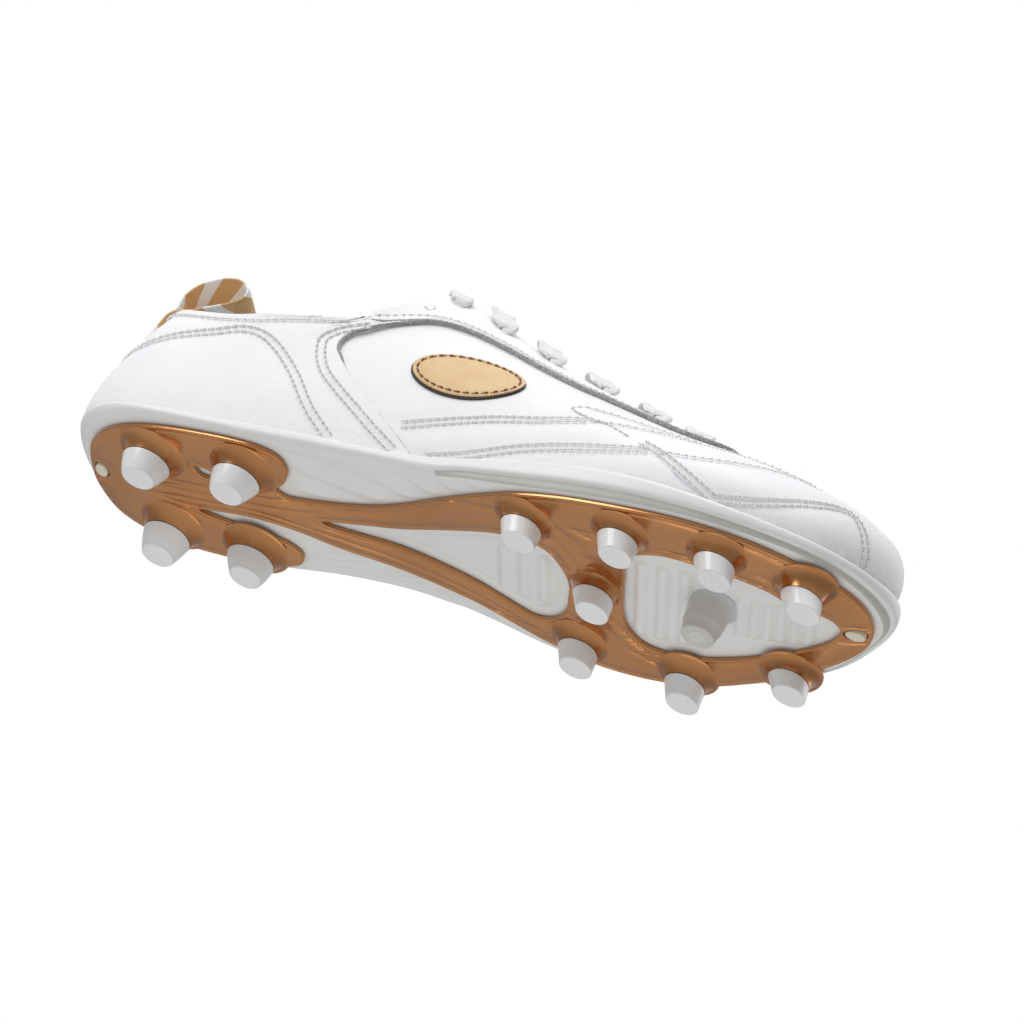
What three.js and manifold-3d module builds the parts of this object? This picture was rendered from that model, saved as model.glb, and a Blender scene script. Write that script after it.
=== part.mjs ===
// Right football boot for firm ground: moulded two-colour outsole with thirteen studs, lasted
// leather upper built from layered panels, tongue, flat lace, sockliner and heel pull loop.
// Millimetres, +Z up, +X to the toe, +Y to the inner (medial) side, z = 0 under the stud tips.
import * as THREE from 'three';
import { mergeVertices } from 'three/addons/utils/BufferGeometryUtils.js';
import Module from 'manifold-3d';

const wasm = await Module();
wasm.setup();

// ---------------------------------------------------------------- driving dimensions
const BBOX_CENTRE_X = 103.5; // middle of the boot's length, measured in the last's own frame
const BBOX_CENTRE_Y = -5.0; // middle of the boot's width, measured in the last's own frame
const WELD = 1e-3;
const STATIONS = 15; // rib stations from heel centre (0) to toe centre (15) along one side
const RING = 2 * STATIONS;
const STEP = 0.5; // spacing of surface columns in rib stations

// Layers, as offsets from the inside face of the boot.
const LINING = [0.2, 1.0];
const LAYER1 = [1.6, 2.6];
const LAYER2 = [3.0, 4.1];
const FACING_INNER = 0.4;
const SIDEWALL = { inner: 3.3, lip: 4.6, outer: 5.3, foot: 4.6, edge: 2.0 };
const RIM_DROP = 0.4; // sidewall rim below the foot edge line
const MARGIN = -0.1; // rib height that stands for the lasted margin's lower edge

const PLATE_LIFT = 1.3; // white plate's underside above the gold frame's reference level
const PLATE_THICK = 2.3;
const FRAME_DROP = 0.6; // gold frame's underside below the reference level
const FRAME_THICK = 1.6;
const BOARD = { gap: 0.4, thick: 1.4, inset: 0.4 };
const SOCK = { gap: 0.4, thick: 3.0, inset: 1.2 };

const THROAT_HALF = 11; // half width of the lacing gap
const EYELET_REACH = 16.5; // eyelet centre from the ridge, along the surface
const EYELET_RADIUS = 2.5;
const EYELET_STATIONS = [10.15, 9.45, 8.65, 7.8, 6.9, 6.05];
const SPARE_EYELET = [5.7, 0.68];
const LACE = { width: 5.2, thick: 1.0, neck: 3.0 };

// Underside reference level of the sole along its length: flat heel, raised waist, toe spring.
const SOLE_LEVEL = [
  [-40, 16.5], [-27, 14], [-10, 13], [30, 13], [60, 14.5], [80, 15], [105, 13.5],
  [130, 11.5], [170, 11.5], [200, 13.5], [225, 17], [243, 21.5], [250, 23.5],
];

// Rib stations of the last: foot point, top point, outward plan angle, then how far each end of
// the rib bows out and how long it stays upright: foot out, foot rise, top out, top drop.
const HEEL_RIB = [-31.5, 0.5, 22, -18, 0, 112, 180, 4, 23, -2, 37];
const TOE_RIB = [238.5, -5, 32, 221, -4.5, 55.3, 360, 4, 9, 14, 0.5];
const LATERAL_RIBS = [
  [-28, -14, 20, -13, -10, 112, 203, 4, 23, -2, 37],
  [-17, -24.5, 18.5, 0, -19, 112, 235, 3, 24, -3, 37],
  [0, -28.5, 18, 16, -23, 112, 260, 2.5, 24, -4, 37],
  [22, -29.5, 18.5, 33, -22, 112, 268, 2.5, 24, -3, 36],
  [46, -30, 20, 49, -13, 112, 270, 3, 27, 4, 26],
  [70, -30.5, 20.5, 66, 0.5, 109, 268, 4, 33, 15, 7],
  [95, -33, 21.5, 89, 1, 98.2, 260, 5, 35, 15.5, 4],
  [118, -39, 22.5, 112, 1.5, 87.7, 256, 5.5, 33, 14, 3],
  [142, -44.5, 23, 137, 2, 78.7, 262, 5.5, 27, 14.5, 2.5],
  [166, -47.5, 22.5, 161, 1, 70.4, 270, 5, 22, 15, 2.2],
  [188, -46.5, 21.5, 183, -1, 65.4, 278, 5, 19, 19, 1.5],
  [207, -41.5, 22, 200, -2.5, 61.5, 293, 5, 16, 19.5, 1.5],
  [223, -33, 24, 211, -3.5, 58.8, 312, 5, 13, 18, 1.5],
  [234, -20, 28, 218, -4.2, 56.3, 336, 5, 10, 15, 1],
];
const MEDIAL_RIBS = [
  [-28, 14, 20, -13, 10, 112, 157, 4, 23, -2, 37],
  [-17, 26, 18.5, 0, 19, 112, 125, 3, 24, -3, 37],
  [0, 31, 18, 16, 23, 112, 98, 2.5, 24, -4, 37],
  [22, 31, 18.5, 33, 22, 112, 88, 2.5, 24, -3, 36],
  [46, 28, 20, 49, 14, 112, 86, 3, 27, 4, 26],
  [70, 26.5, 20.5, 66, 0.5, 109, 90, 4, 33, 14, 7],
  [95, 27.5, 21.5, 89, 1, 98.2, 96, 5, 35, 14, 4],
  [118, 31.5, 22.5, 112, 1.5, 87.7, 103, 5, 32, 14, 3],
  [142, 36.5, 23, 137, 2, 78.7, 98, 5, 28, 14, 2.5],
  [166, 37, 22.5, 161, 1, 70.4, 87, 4, 25, 14, 2.2],
  [188, 32, 21.5, 183, -1, 65.4, 70, 4, 20, 14, 1.5],
  [207, 24.5, 22, 200, -2.5, 61.5, 62, 4, 16, 15, 1.5],
  [223, 15, 24, 211, -3.5, 58.8, 48, 4, 13, 15, 1.5],
  [233, 5, 28, 218, -4.2, 56.3, 26, 4, 10, 13, 1],
];

// Panel edges as rib height (0 foot edge, 1 ridge) against station.
const COLLAR_EDGE = [
  [0, 0.61], [0.7, 0.6], [1.4, 0.57], [2, 0.54], [2.6, 0.535], [3.2, 0.56], [3.8, 0.6],
  [4.3, 0.62], [4.8, 0.63],
];
const HEEL_PANEL_FRONT = [
  [4.78, 0.47], [4.9, 0.41], [5.35, 0.28], [5.75, 0.19], [6.2, 0.1], [6.7, 0.02],
];
const FACING_TOP = [[4.8, 0.66], [5.0, 0.685], [5.2, 0.7], [5.5, 0.74], [5.7, 0.81], [5.85, 0.85]];
const FACING_LOW = [
  [4.8, 0.62], [5.3, 0.59], [6.2, 0.6], [7.2, 0.61], [7.9, 0.58], [8.5, 0.55], [9.4, 0.56],
  [10.2, 0.6], [10.6, 0.7], [10.95, 0.96],
];
const UNDER_FACING = 0.05; // how far the quarter and lining run up under the facing
const VAMP_SEAM = [[11.1, 0.0], [9.55, 0.23], [8.75, 0.36], [8.7, 0.6]];
const THROAT_FRONT = 10.45;

// Studs: name, tip centre x and y, tip height off the ground, tip radius, splay of the root.
const HEEL_STUDS = [
  ['stud_heel_lateral_rear', -3, -16.5, 0, -0.3, 1],
  ['stud_heel_lateral_front', 29, -20, 0, 0.3, 1],
  ['stud_heel_medial_rear', -4, 24.5, 0, 0.6, -1.7],
  ['stud_heel_medial_front', 28, 24, 0, -1.3, 0],
];
const FORE_STUDS = [
  ['stud_fore_lateral_1', 132, -34, 0, -1.7, 1.5],
  ['stud_fore_lateral_2', 165, -39, 0, -1.8, 1],
  ['stud_fore_lateral_3', 197, -38, 1, -2.4, 1],
  ['stud_fore_lateral_4', 224.5, -29.5, 3, -3, 2],
  ['stud_fore_centre_rear', 153.5, -6, 0, -2.3, 1, 8.8],
  ['stud_fore_medial_1', 144, 26.5, 0, -1.7, 0],
  ['stud_fore_medial_2', 180, 31, 0, -1.6, -0.5],
  ['stud_fore_medial_3', 216, 16.5, 3.4, -2.7, 2],
];
const WINDOW_STUD = ['stud_fore_centre_front', 188.5, -6.5, 1, 0, 0];
const TIP_LENGTH = 6.6;
const HEEL_TIP_LENGTH = 7.2;
const JOINT_GAP = 0.3;
const STUD_SIDES = 12;

// Gold frame plan: outline, the two open windows and the slots.
const FRAME_OUTLINE = [
  [-30, 3], [-29, -5], [-27, -11], [-22, -18], [-15, -23.5], [-6, -27.5], [4, -30], [16, -31.5],
  [28, -32], [37, -31], [43, -27.5], [45, -21], [43, -15], [39.5, -10], [42, -7.5], [50, -7.5],
  [61, -9], [73, -12], [83, -16.5], [98, -26], [113, -35], [127, -42.5], [141, -46.5],
  [154, -48.5], [167, -49.5], [179, -49.5], [190, -48], [205, -43.5], [217, -37], [228, -29],
  [235, -20.5], [238.5, -13], [239.5, -5], [237.5, 2.5], [232, 9], [224, 15], [214, 21.5],
  [200, 28.5], [187, 34], [172, 37.5], [160, 38.5], [146, 37.5], [134, 34], [118, 28], [105, 23.5],
  [91, 20.5], [72, 17], [57, 14], [43, 9.5], [31, 7.5], [20, 8], [8, 10.5], [19, 13.5], [31, 15],
  [39, 18], [43, 22.5], [42, 27.5], [36, 30.5], [24, 32.5], [10, 33], [-5, 32], [-17, 28],
  [-24, 23], [-28, 16], [-30, 9],
];
const WAIST_WINDOW = [
  [53, 2], [67, -1], [81, -4], [103, -13], [119, -19], [128, -20], [135, -17.5], [139.5, -10],
  [141, -3], [140, 4], [138, 12], [133, 18.5], [126, 20.5], [119, 18], [106, 12.5], [93, 9],
  [80, 6.5], [66, 5], [56, 3.5],
];
const FORE_WINDOW = [
  [161, -13], [159.5, -3], [158.5, 8], [159.5, 14], [163, 19.5], [169, 22], [181, 21.5], [194, 18],
  [207, 12.5], [219, 6.5], [226, 1.5], [229.5, -4], [228, -8.5], [223, -12.5], [213, -17],
  [209.5, -20], [199, -25], [185, -28.5], [175, -29.5], [166, -26.5], [162, -20],
];
const HEEL_NOTCH = [[11, -13.5], [21, -10.5], [13, -8.5]];
const TOE_SLOT = { x: 234, y: -3, rx: 3.4, ry: 2.3 };
const HEEL_SLOT = { x: -26, y: 3, rx: 2.2, ry: 3.2 };

// ---------------------------------------------------------------- small maths
const lerp = (a, b, f) => a + (b - a) * f;
const clamp = (v, a, b) => Math.min(b, Math.max(a, v));
const vec = (x, y, z) => new THREE.Vector3(x, y, z);

function polyline(points) {
  return (x) => {
    if (x <= points[0][0]) return points[0][1];
    for (let i = 1; i < points.length; i += 1) {
      const [x1, y1] = points[i];
      const [x0, y0] = points[i - 1];
      if (x <= x1) return lerp(y0, y1, (x - x0) / (x1 - x0));
    }
    return points[points.length - 1][1];
  };
}

// Smooth curve through points with finite-difference slopes.
function smoothCurve(points) {
  const slope = points.map((p, i) => {
    const a = points[Math.max(0, i - 1)];
    const b = points[Math.min(points.length - 1, i + 1)];
    return (b[1] - a[1]) / (b[0] - a[0]);
  });
  return (x) => {
    const xc = clamp(x, points[0][0], points[points.length - 1][0]);
    let i = 1;
    while (i < points.length - 1 && xc > points[i][0]) i += 1;
    const [x0, y0] = points[i - 1];
    const [x1, y1] = points[i];
    const h = x1 - x0;
    const f = (xc - x0) / h;
    const f2 = f * f;
    const f3 = f2 * f;
    const rise = h * (slope[i - 1] * (f3 - 2 * f2 + f) + slope[i] * (f3 - f2));
    return y0 * (2 * f3 - 3 * f2 + 1) + y1 * (3 * f2 - 2 * f3) + rise;
  };
}

// Closed cubic spline through equally spaced rows of numbers.
function closedSpline(rows) {
  const n = rows.length;
  const m = rows.map((r) => r.map(() => 0));
  for (let sweep = 0; sweep < 60; sweep += 1) {
    for (let i = 0; i < n; i += 1) {
      const a = rows[(i + n - 1) % n];
      const b = rows[(i + 1) % n];
      const ma = m[(i + n - 1) % n];
      const mb = m[(i + 1) % n];
      for (let c = 0; c < rows[i].length; c += 1) {
        m[i][c] = (6 * (a[c] - 2 * rows[i][c] + b[c]) - ma[c] - mb[c]) / 4;
      }
    }
  }
  return (u) => {
    const q = ((u % n) + n) % n;
    const i = Math.floor(q) % n;
    const j = (i + 1) % n;
    const f = q - Math.floor(q);
    const k = (f * (1 - f)) / 6;
    return rows[i].map((v, c) => lerp(v, rows[j][c], f) - k * ((2 - f) * m[i][c] + (1 + f) * m[j][c]));
  };
}

// ---------------------------------------------------------------- the last
function ribControls([fx, fy, fz, ux, uy, uz, angle, o1, h1, o2, h2]) {
  const a = (angle * Math.PI) / 180;
  const nx = Math.cos(a);
  const ny = Math.sin(a);
  return [
    fx, fy, fz, fx + nx * o1, fy + ny * o1, fz + h1,
    ux + nx * o2, uy + ny * o2, uz - h2, ux, uy, uz,
  ];
}

const ribSpline = closedSpline(
  [HEEL_RIB, ...LATERAL_RIBS, TOE_RIB, ...[...MEDIAL_RIBS].reverse()].map(ribControls),
);
const soleLevel = smoothCurve(SOLE_LEVEL);

// q runs round the boot: 0 heel centre, 15 toe centre, 30 heel centre again. t runs up the rib.
function ribPoint(q, t) {
  const c = ribSpline(q);
  const s = 1 - t;
  const w = [s * s * s, 3 * s * s * t, 3 * s * t * t, t * t * t];
  const p = [0, 0, 0];
  for (let k = 0; k < 4; k += 1) {
    for (let a = 0; a < 3; a += 1) p[a] += w[k] * c[3 * k + a];
  }
  return vec(...p);
}

function ribNormal(q, t) {
  const fromToe = Math.abs(q - STATIONS);
  const tt = clamp(t, 0.002, fromToe < 1.5 ? 0.97 : 0.995);
  const along = ribPoint(q + 0.02, tt).sub(ribPoint(q - 0.02, tt));
  const up = ribPoint(q, tt + 0.002).sub(ribPoint(q, tt - 0.002));
  return along.cross(up).normalize();
}

// Point of the upper at an offset from the inside face. Below the foot edge it drops straight
// and ends just over the plate's floor.
function skin(q, t, off) {
  const tc = clamp(t, 0, 1);
  const p = ribPoint(q, tc).addScaledVector(ribNormal(q, tc), off);
  if (t < 0) p.z = lerp(p.z, floorTop(p.x) + 0.5, t / MARGIN);
  return p;
}

const onSide = (side, w) => (side < 0 ? w : RING - w);

function footEdge(q, off) {
  const n = ribNormal(q, 0.002);
  n.z = 0;
  n.normalize();
  return ribPoint(q, 0).addScaledVector(n, off);
}

const floorTop = (x) => soleLevel(x) + PLATE_LIFT + PLATE_THICK;

// Rib height at a distance from the ridge measured along the surface.
function heightAtReach(q, reach, off) {
  let t = 1;
  let left = reach;
  let here = skin(q, 1, off);
  while (t > 0.2) {
    const next = skin(q, t - 0.01, off);
    const step = here.distanceTo(next);
    if (step >= left) return t - (0.01 * left) / step;
    left -= step;
    here = next;
    t -= 0.01;
  }
  return t;
}

// ---------------------------------------------------------------- mesh helpers
function geometryFrom(triangles) {
  const flat = new Float32Array(triangles.length * 9);
  triangles.forEach((tri, i) => tri.forEach((p, k) => flat.set([p.x, p.y, p.z], i * 9 + k * 3)));
  const raw = new THREE.BufferGeometry();
  raw.setAttribute('position', new THREE.BufferAttribute(flat, 3));
  const merged = mergeVertices(raw, WELD);
  const idx = merged.index.array;
  const keep = [];
  for (let i = 0; i < idx.length; i += 3) {
    const [a, b, c] = [idx[i], idx[i + 1], idx[i + 2]];
    if (a !== b && b !== c && c !== a) keep.push(a, b, c);
  }
  merged.setIndex(keep);
  return signedVolume(merged) < 0 ? flipped(merged) : merged;
}

function signedVolume(geometry) {
  const p = geometry.attributes.position;
  const idx = geometry.index.array;
  const [a, b, c] = [vec(0, 0, 0), vec(0, 0, 0), vec(0, 0, 0)];
  let volume = 0;
  for (let i = 0; i < idx.length; i += 3) {
    a.fromBufferAttribute(p, idx[i]);
    b.fromBufferAttribute(p, idx[i + 1]);
    c.fromBufferAttribute(p, idx[i + 2]);
    volume += a.dot(b.cross(c)) / 6;
  }
  return volume;
}

function flipped(geometry) {
  const idx = Array.from(geometry.index.array);
  for (let i = 0; i < idx.length; i += 3) [idx[i], idx[i + 1]] = [idx[i + 1], idx[i]];
  geometry.setIndex(idx);
  return geometry;
}

function quad(out, a, b, c, d) {
  if (a.distanceToSquared(c) < b.distanceToSquared(d)) {
    out.push([a, b, c], [a, c, d]);
  } else {
    out.push([a, b, d], [b, c, d]);
  }
}

// Closed sheet between two grids of the same size. Cells that present() leaves out are open, and
// a folded sheet's last edge is left without a wall, to weld onto itself.
function sheet(outer, inner, { folded = false, present = () => true } = {}) {
  const out = [];
  const m = outer.length - 1;
  const n = outer[0].length - 1;
  const filled = (i, j) => i >= 0 && j >= 0 && i < m && j < n && present(i, j);
  for (let i = 0; i < m; i += 1) {
    for (let j = 0; j < n; j += 1) {
      if (!filled(i, j)) continue;
      const corner = [[i, j], [i + 1, j], [i + 1, j + 1], [i, j + 1]];
      quad(out, ...corner.map(([a, b]) => outer[a][b]));
      quad(out, ...[...corner].reverse().map(([a, b]) => inner[a][b]));
      const next = [[i, j - 1], [i + 1, j], [i, j + 1], [i - 1, j]];
      next.forEach(([a, b], k) => {
        if (filled(a, b) || (folded && b === n)) return;
        const [p, r] = [corner[k], corner[(k + 1) % 4]];
        quad(out, outer[r[0]][r[1]], outer[p[0]][p[1]], inner[p[0]][p[1]], inner[r[0]][r[1]]);
      });
    }
  }
  return geometryFrom(out);
}

// Closed skin over a row of loops; ends are capped unless the row closes on itself or folds.
function loft(loops, { closed = false, fold = false } = {}) {
  const out = [];
  const count = loops.length;
  const n = loops[0].length;
  const spans = closed ? count : count - 1;
  for (let i = 0; i < spans; i += 1) {
    const a = loops[i];
    const b = loops[(i + 1) % count];
    for (let j = 0; j < n; j += 1) quad(out, a[j], a[(j + 1) % n], b[(j + 1) % n], b[j]);
  }
  if (!closed && !fold) {
    for (const [loop, turn] of [[loops[0], 1], [loops[count - 1], -1]]) {
      const mid = loop.reduce((s, p) => s.add(p), vec(0, 0, 0)).divideScalar(n);
      for (let j = 0; j < n; j += 1) {
        const [p, r] = [loop[j], loop[(j + 1) % n]];
        out.push(turn > 0 ? [mid, r, p] : [mid, p, r]);
      }
    }
  }
  return geometryFrom(out);
}

function toSolid(geometry) {
  const bare = geometry.clone();
  for (const name of Object.keys(bare.attributes)) {
    if (name !== 'position') bare.deleteAttribute(name);
  }
  const g = mergeVertices(bare, WELD);
  const mesh = new wasm.Mesh({
    numProp: 3,
    vertProperties: new Float32Array(g.attributes.position.array),
    triVerts: new Uint32Array(g.index.array),
  });
  return new wasm.Manifold(mesh);
}

function fromSolid(solid) {
  const m = solid.getMesh();
  const g = new THREE.BufferGeometry();
  g.setAttribute('position', new THREE.BufferAttribute(new Float32Array(m.vertProperties), 3));
  g.setIndex(Array.from(m.triVerts));
  return g;
}

const boot = new THREE.Group();
boot.name = 'football_boot';
boot.position.set(-BBOX_CENTRE_X, -BBOX_CENTRE_Y, 0);

function addPart(name, geometry, material) {
  geometry.computeVertexNormals();
  const mesh = new THREE.Mesh(geometry, material);
  mesh.name = name;
  boot.add(mesh);
}

// ---------------------------------------------------------------- materials
const finish = (color, roughness, metalness) =>
  new THREE.MeshStandardMaterial({ color, roughness, metalness });
const WHITE_LEATHER = finish('#f4f5f8', 0.45, 0);
const WHITE_TPU = finish('#d6d7d4', 0.35, 0);
const STUD_WHITE = finish('#eceded', 0.3, 0);
const FROSTED = finish('#c9cac8', 0.4, 0);
const GOLD_TPU = finish('#a8703f', 0.32, 0.6);
const GOLD_LEATHER = finish('#f0d3a0', 0.45, 0.1);
const LINING_TEXTILE = finish('#e6e6e4', 0.85, 0);
const FOAM = finish('#e2ddcf', 0.9, 0);
const BOARD_FIBRE = finish('#b9a482', 0.9, 0);
const COUNTER_BOARD = finish('#cfc8ba', 0.8, 0);
const SOCK_TEXTILE = finish('#dcdcda', 0.9, 0);
const LACE_WHITE = finish('#f5f5f4', 0.8, 0);
const WEBBING = finish('#d9b071', 0.7, 0);
const AGLET = finish('#f2f2f0', 0.3, 0);

// ---------------------------------------------------------------- sole
function stationsBetween(a, b, extra = []) {
  const list = [a, b, ...extra];
  for (let w = Math.ceil(a / STEP) * STEP; w < b; w += STEP) list.push(w);
  const sorted = [...new Set(list.map((w) => Math.round(w * 1e4) / 1e4))].sort((p, r) => p - r);
  return sorted.filter((w) => w >= a && w <= b);
}

function plateLoop(w) {
  const rails = [-1, 1].map((side) => {
    const q = onSide(side, w);
    const rim = ribPoint(q, 0).z - RIM_DROP;
    const at = (off, z) => footEdge(q, off).setZ(z);
    const level = soleLevel(footEdge(q, SIDEWALL.edge).x) + PLATE_LIFT;
    return {
      up: [at(SIDEWALL.inner, rim), at(SIDEWALL.lip, rim - 0.2), at(SIDEWALL.outer, rim - 3)]
        .concat([at(SIDEWALL.foot, level + 1.2), at(SIDEWALL.edge, level)]),
      floor: at(SIDEWALL.inner, floorTop(footEdge(q, SIDEWALL.inner).x)),
    };
  });
  const [l, m] = rails;
  const across = (a, b, dz) => [0.3, 0.7].map((f) => {
    const p = a.clone().lerp(b, f);
    p.z = soleLevel(p.x) + dz;
    return p;
  });
  return [
    ...l.up, ...across(l.up[4], m.up[4], PLATE_LIFT), ...[...m.up].reverse(), m.floor,
    ...across(m.floor, l.floor, PLATE_LIFT + PLATE_THICK), l.floor,
  ];
}

function outsolePlate() {
  return loft(stationsBetween(0, STATIONS).map(plateLoop), { fold: true });
}

function shapeFrom(points, holes = []) {
  const shape = new THREE.Shape(points.map(([x, y]) => new THREE.Vector2(x, y)));
  shape.holes = holes.map((h) => new THREE.Path(h.map(([x, y]) => new THREE.Vector2(x, y))));
  return shape;
}

function ovalPoints({ x, y, rx, ry }, grow, sides = 12) {
  const pts = [];
  for (let i = 0; i < sides; i += 1) {
    const a = (2 * Math.PI * i) / sides;
    pts.push([x + (rx + grow) * Math.cos(a), y + (ry + grow) * Math.sin(a)]);
  }
  return pts;
}

// Slab that follows the sole's level between two heights above it.
function levelSlab(low, high, halfWidth = 70) {
  const loops = [];
  for (let x = -40; x <= 254; x += 14) {
    const z = soleLevel(x);
    const corner = (y, dz) => vec(x, y, z + dz);
    loops.push([
      corner(-halfWidth, low), corner(halfWidth, low), corner(halfWidth, high),
      corner(-halfWidth, high),
    ]);
  }
  return toSolid(loft(loops));
}

// Round stack of rings, each with its own centre and radius, level or following the sole.
function ringStack(rings) {
  const loops = rings.map(([x, y, z, r]) => {
    const loop = [];
    for (let i = 0; i < STUD_SIDES; i += 1) {
      const a = (2 * Math.PI * (i + 0.5)) / STUD_SIDES;
      const px = x + r * Math.cos(a);
      loop.push(vec(px, y + r * Math.sin(a), typeof z === 'function' ? z(px) : z));
    }
    return loop;
  });
  return loft(loops);
}
const above = (dz) => (x) => soleLevel(x) + dz;

function studLayout([name, x, y, z, leanX, leanY, narrow], heel) {
  const length = heel ? HEEL_TIP_LENGTH : TIP_LENGTH;
  const radius = heel ? 6.6 : 5.6;
  const flare = narrow ?? (heel ? 12.5 : 10.8);
  return { name, x, y, z, leanX, leanY, length, radius, flare, root: soleLevel(x) };
}

// Gold root of a stud: from its joint with the tip up into the frame, leaning inboard.
function studRoot(s) {
  const z0 = s.z + s.length + JOINT_GAP;
  const z1 = s.root - FRAME_DROP;
  const lean = (f) => [s.x + s.leanX * f, s.y + s.leanY * f];
  return toSolid(ringStack([
    [...lean(1), z0, s.radius + 1.2],
    [...lean(1.25), lerp(z0, z1, 0.5), lerp(s.radius + 1.2, s.flare, 0.38)],
    [...lean(1.5), above(0.2 - FRAME_DROP), s.flare],
    [...lean(1.5), above(FRAME_THICK - FRAME_DROP - 0.5), s.flare * 0.97],
  ]));
}

function studTip(s) {
  const { length: h, radius: r } = s;
  const ring = (f, radius) => [s.x + s.leanX * f, s.y + s.leanY * f, s.z + h * f, radius];
  return ringStack([
    ring(0, r - 0.7), ring(0.1, r), ring(0.86, r + 1.0), ring(1, r + 0.9),
  ]);
}

function outsoleFrame(studs) {
  const plan = shapeFrom(FRAME_OUTLINE, [
    WAIST_WINDOW, FORE_WINDOW, HEEL_NOTCH, ovalPoints(TOE_SLOT, JOINT_GAP),
    ovalPoints(HEEL_SLOT, JOINT_GAP),
  ]);
  const prism = toSolid(new THREE.ExtrudeGeometry(plan, { depth: 60, bevelEnabled: false }));
  let frame = prism.intersect(levelSlab(-FRAME_DROP, FRAME_THICK - FRAME_DROP));
  for (const s of studs) frame = frame.add(studRoot(s));
  return fromSolid(frame);
}

function slotPlug(slot) {
  const prism = toSolid(new THREE.ExtrudeGeometry(
    shapeFrom(ovalPoints(slot, 0)),
    { depth: 60, bevelEnabled: false },
  ));
  return fromSolid(prism.intersect(levelSlab(-FRAME_DROP - 0.5, FRAME_THICK - FRAME_DROP - 0.1)));
}

// The stud in the forefoot window stands on the white plate itself.
function windowStud(s) {
  const top = PLATE_LIFT - JOINT_GAP;
  const at = (z, r) => [s.x, s.y, z, r];
  return ringStack([
    at(s.z, s.radius - 0.7), at(s.z + 0.7, s.radius), at(s.z + 5.8, s.radius + 1),
    at(lerp(s.z + 5.8, s.root + top, 0.6), s.radius + 1.6), at(above(top), s.flare - 1),
  ]);
}

// Flat sheet inside the boot that follows the floor.
function floorSheet({ inset, thick }, lift, first, last) {
  const loopAt = (w) => {
    const edge = [-1, 1].map((side) => footEdge(onSide(side, w), -inset));
    const pts = [0, 0.33, 0.67, 1].map((f) => edge[0].clone().lerp(edge[1], f));
    const row = (dz) => pts.map((p) => p.clone().setZ(floorTop(p.x) + dz));
    return [...row(lift), ...row(lift + thick).reverse()];
  };
  return loft(stationsBetween(first, last).map(loopAt), { fold: true });
}

// ---------------------------------------------------------------- upper panels
const collarEdge = smoothCurve(COLLAR_EDGE);
const heelPanelFront = polyline(HEEL_PANEL_FRONT);
const facingTop = smoothCurve(FACING_TOP);
const facingLow = smoothCurve(FACING_LOW);
const vampSeamStation = polyline([...VAMP_SEAM].map(([w, t]) => [t, w]));
const seamHeight = polyline([...VAMP_SEAM].reverse());

const PAD_DEPTH = 0.2; // padded band's depth below the collar edge, as rib height
// Padding of the collar: how deep it stands into the boot, fading out before the facing.
function collarPad(w, t) {
  const f = clamp(1 - (collarEdge(w) - t) / PAD_DEPTH, 0, 1);
  const along = f < 0.6 ? Math.sin((Math.PI / 2) * (f / 0.6)) : 1 - 0.45 * ((f - 0.6) / 0.4) ** 2;
  return 3.2 * along * clamp((4.85 - w) / 0.85, 0, 1);
}

function sidePanel(side, stations, rows, low, high, [inner, outer]) {
  const grid = (off) => stations.map((w) => (
    spread(low, high(w), rows).map((t) => skin(onSide(side, w), t, off))
  ));
  return sheet(grid(outer), grid(inner));
}

// Panel that wraps the heel: stations run from the medial side (-) round to the lateral (+),
// and levels(w) lists the rib heights of its rows.
function heelWrap(reach, levels, inner, outer) {
  const half = stationsBetween(0, reach);
  const ring = [...half.map((w) => -w).reverse(), ...half.slice(1)];
  const grid = (off) => ring.map((q) => {
    const w = Math.abs(q);
    return levels(w).map((t) => skin(q, t, off(w, t)));
  });
  return sheet(grid(outer), grid(inner));
}
const spread = (lo, hi, rows) => Array.from({ length: rows + 1 }, (_, j) => lerp(lo, hi, j / rows));

// Panel over the forefoot: columns go from one foot edge over the ridge to the other.
const FORE_LEVELS = [MARGIN, 0.02, 0.12, 0.23, 0.36, 0.48, 0.6, 0.7, 0.8, 0.9, 1];
const WING_TOP = 0.6; // the forepart's wings beside the throat end at this rib height
function forePanel(firstStation, startAt, [inner, outer]) {
  const rows = stationsBetween(firstStation, STATIONS, [THROAT_FRONT]);
  const lateral = FORE_LEVELS.map((t) => [-1, t]);
  const medial = FORE_LEVELS.slice(0, -1).reverse().map((t) => [1, t]);
  const columns = [...lateral, ...medial];
  const grid = (off) => columns.map(([side, t]) => (
    rows.map((row) => skin(onSide(side, Math.max(row, startAt(t))), t, off))
  ));
  const present = (i, j) => (
    rows[j] >= THROAT_FRONT || Math.max(columns[i][1], columns[i + 1][1]) <= WING_TOP
  );
  return sheet(grid(outer), grid(inner), { folded: true, present });
}

const constant = (value) => () => value;
const liningTop = (w) => (w < 4.8 ? collarEdge(w) - 0.012 : facingLow(w) + UNDER_FACING - 0.02);

function quarterLining() {
  const levels = (w) => {
    const hi = liningTop(w);
    const mid = hi - PAD_DEPTH + 0.012;
    return [...spread(MARGIN, 0, 1), ...spread(0, mid, 3).slice(1), ...spread(mid, hi, 4).slice(1)];
  };
  const outer = (w, t) => LINING[1] - collarPad(w, t);
  const inner = (w, t) => LINING[0] - collarPad(w, t);
  return heelWrap(8.5, levels, inner, outer);
}

function heelCounter() {
  const levels = (w) => spread(MARGIN, collarEdge(w) - PAD_DEPTH - 0.015, 4);
  return heelWrap(4.2, levels, constant(LAYER1[0]), constant(LAYER1[1]));
}

function collarFoam() {
  const levels = (w) => spread(collarEdge(w) - PAD_DEPTH, collarEdge(w) - 0.012, 4);
  const inner = (w, t) => LAYER1[0] - collarPad(w, t);
  return heelWrap(4.5, levels, inner, constant(LAYER1[1]));
}

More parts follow.
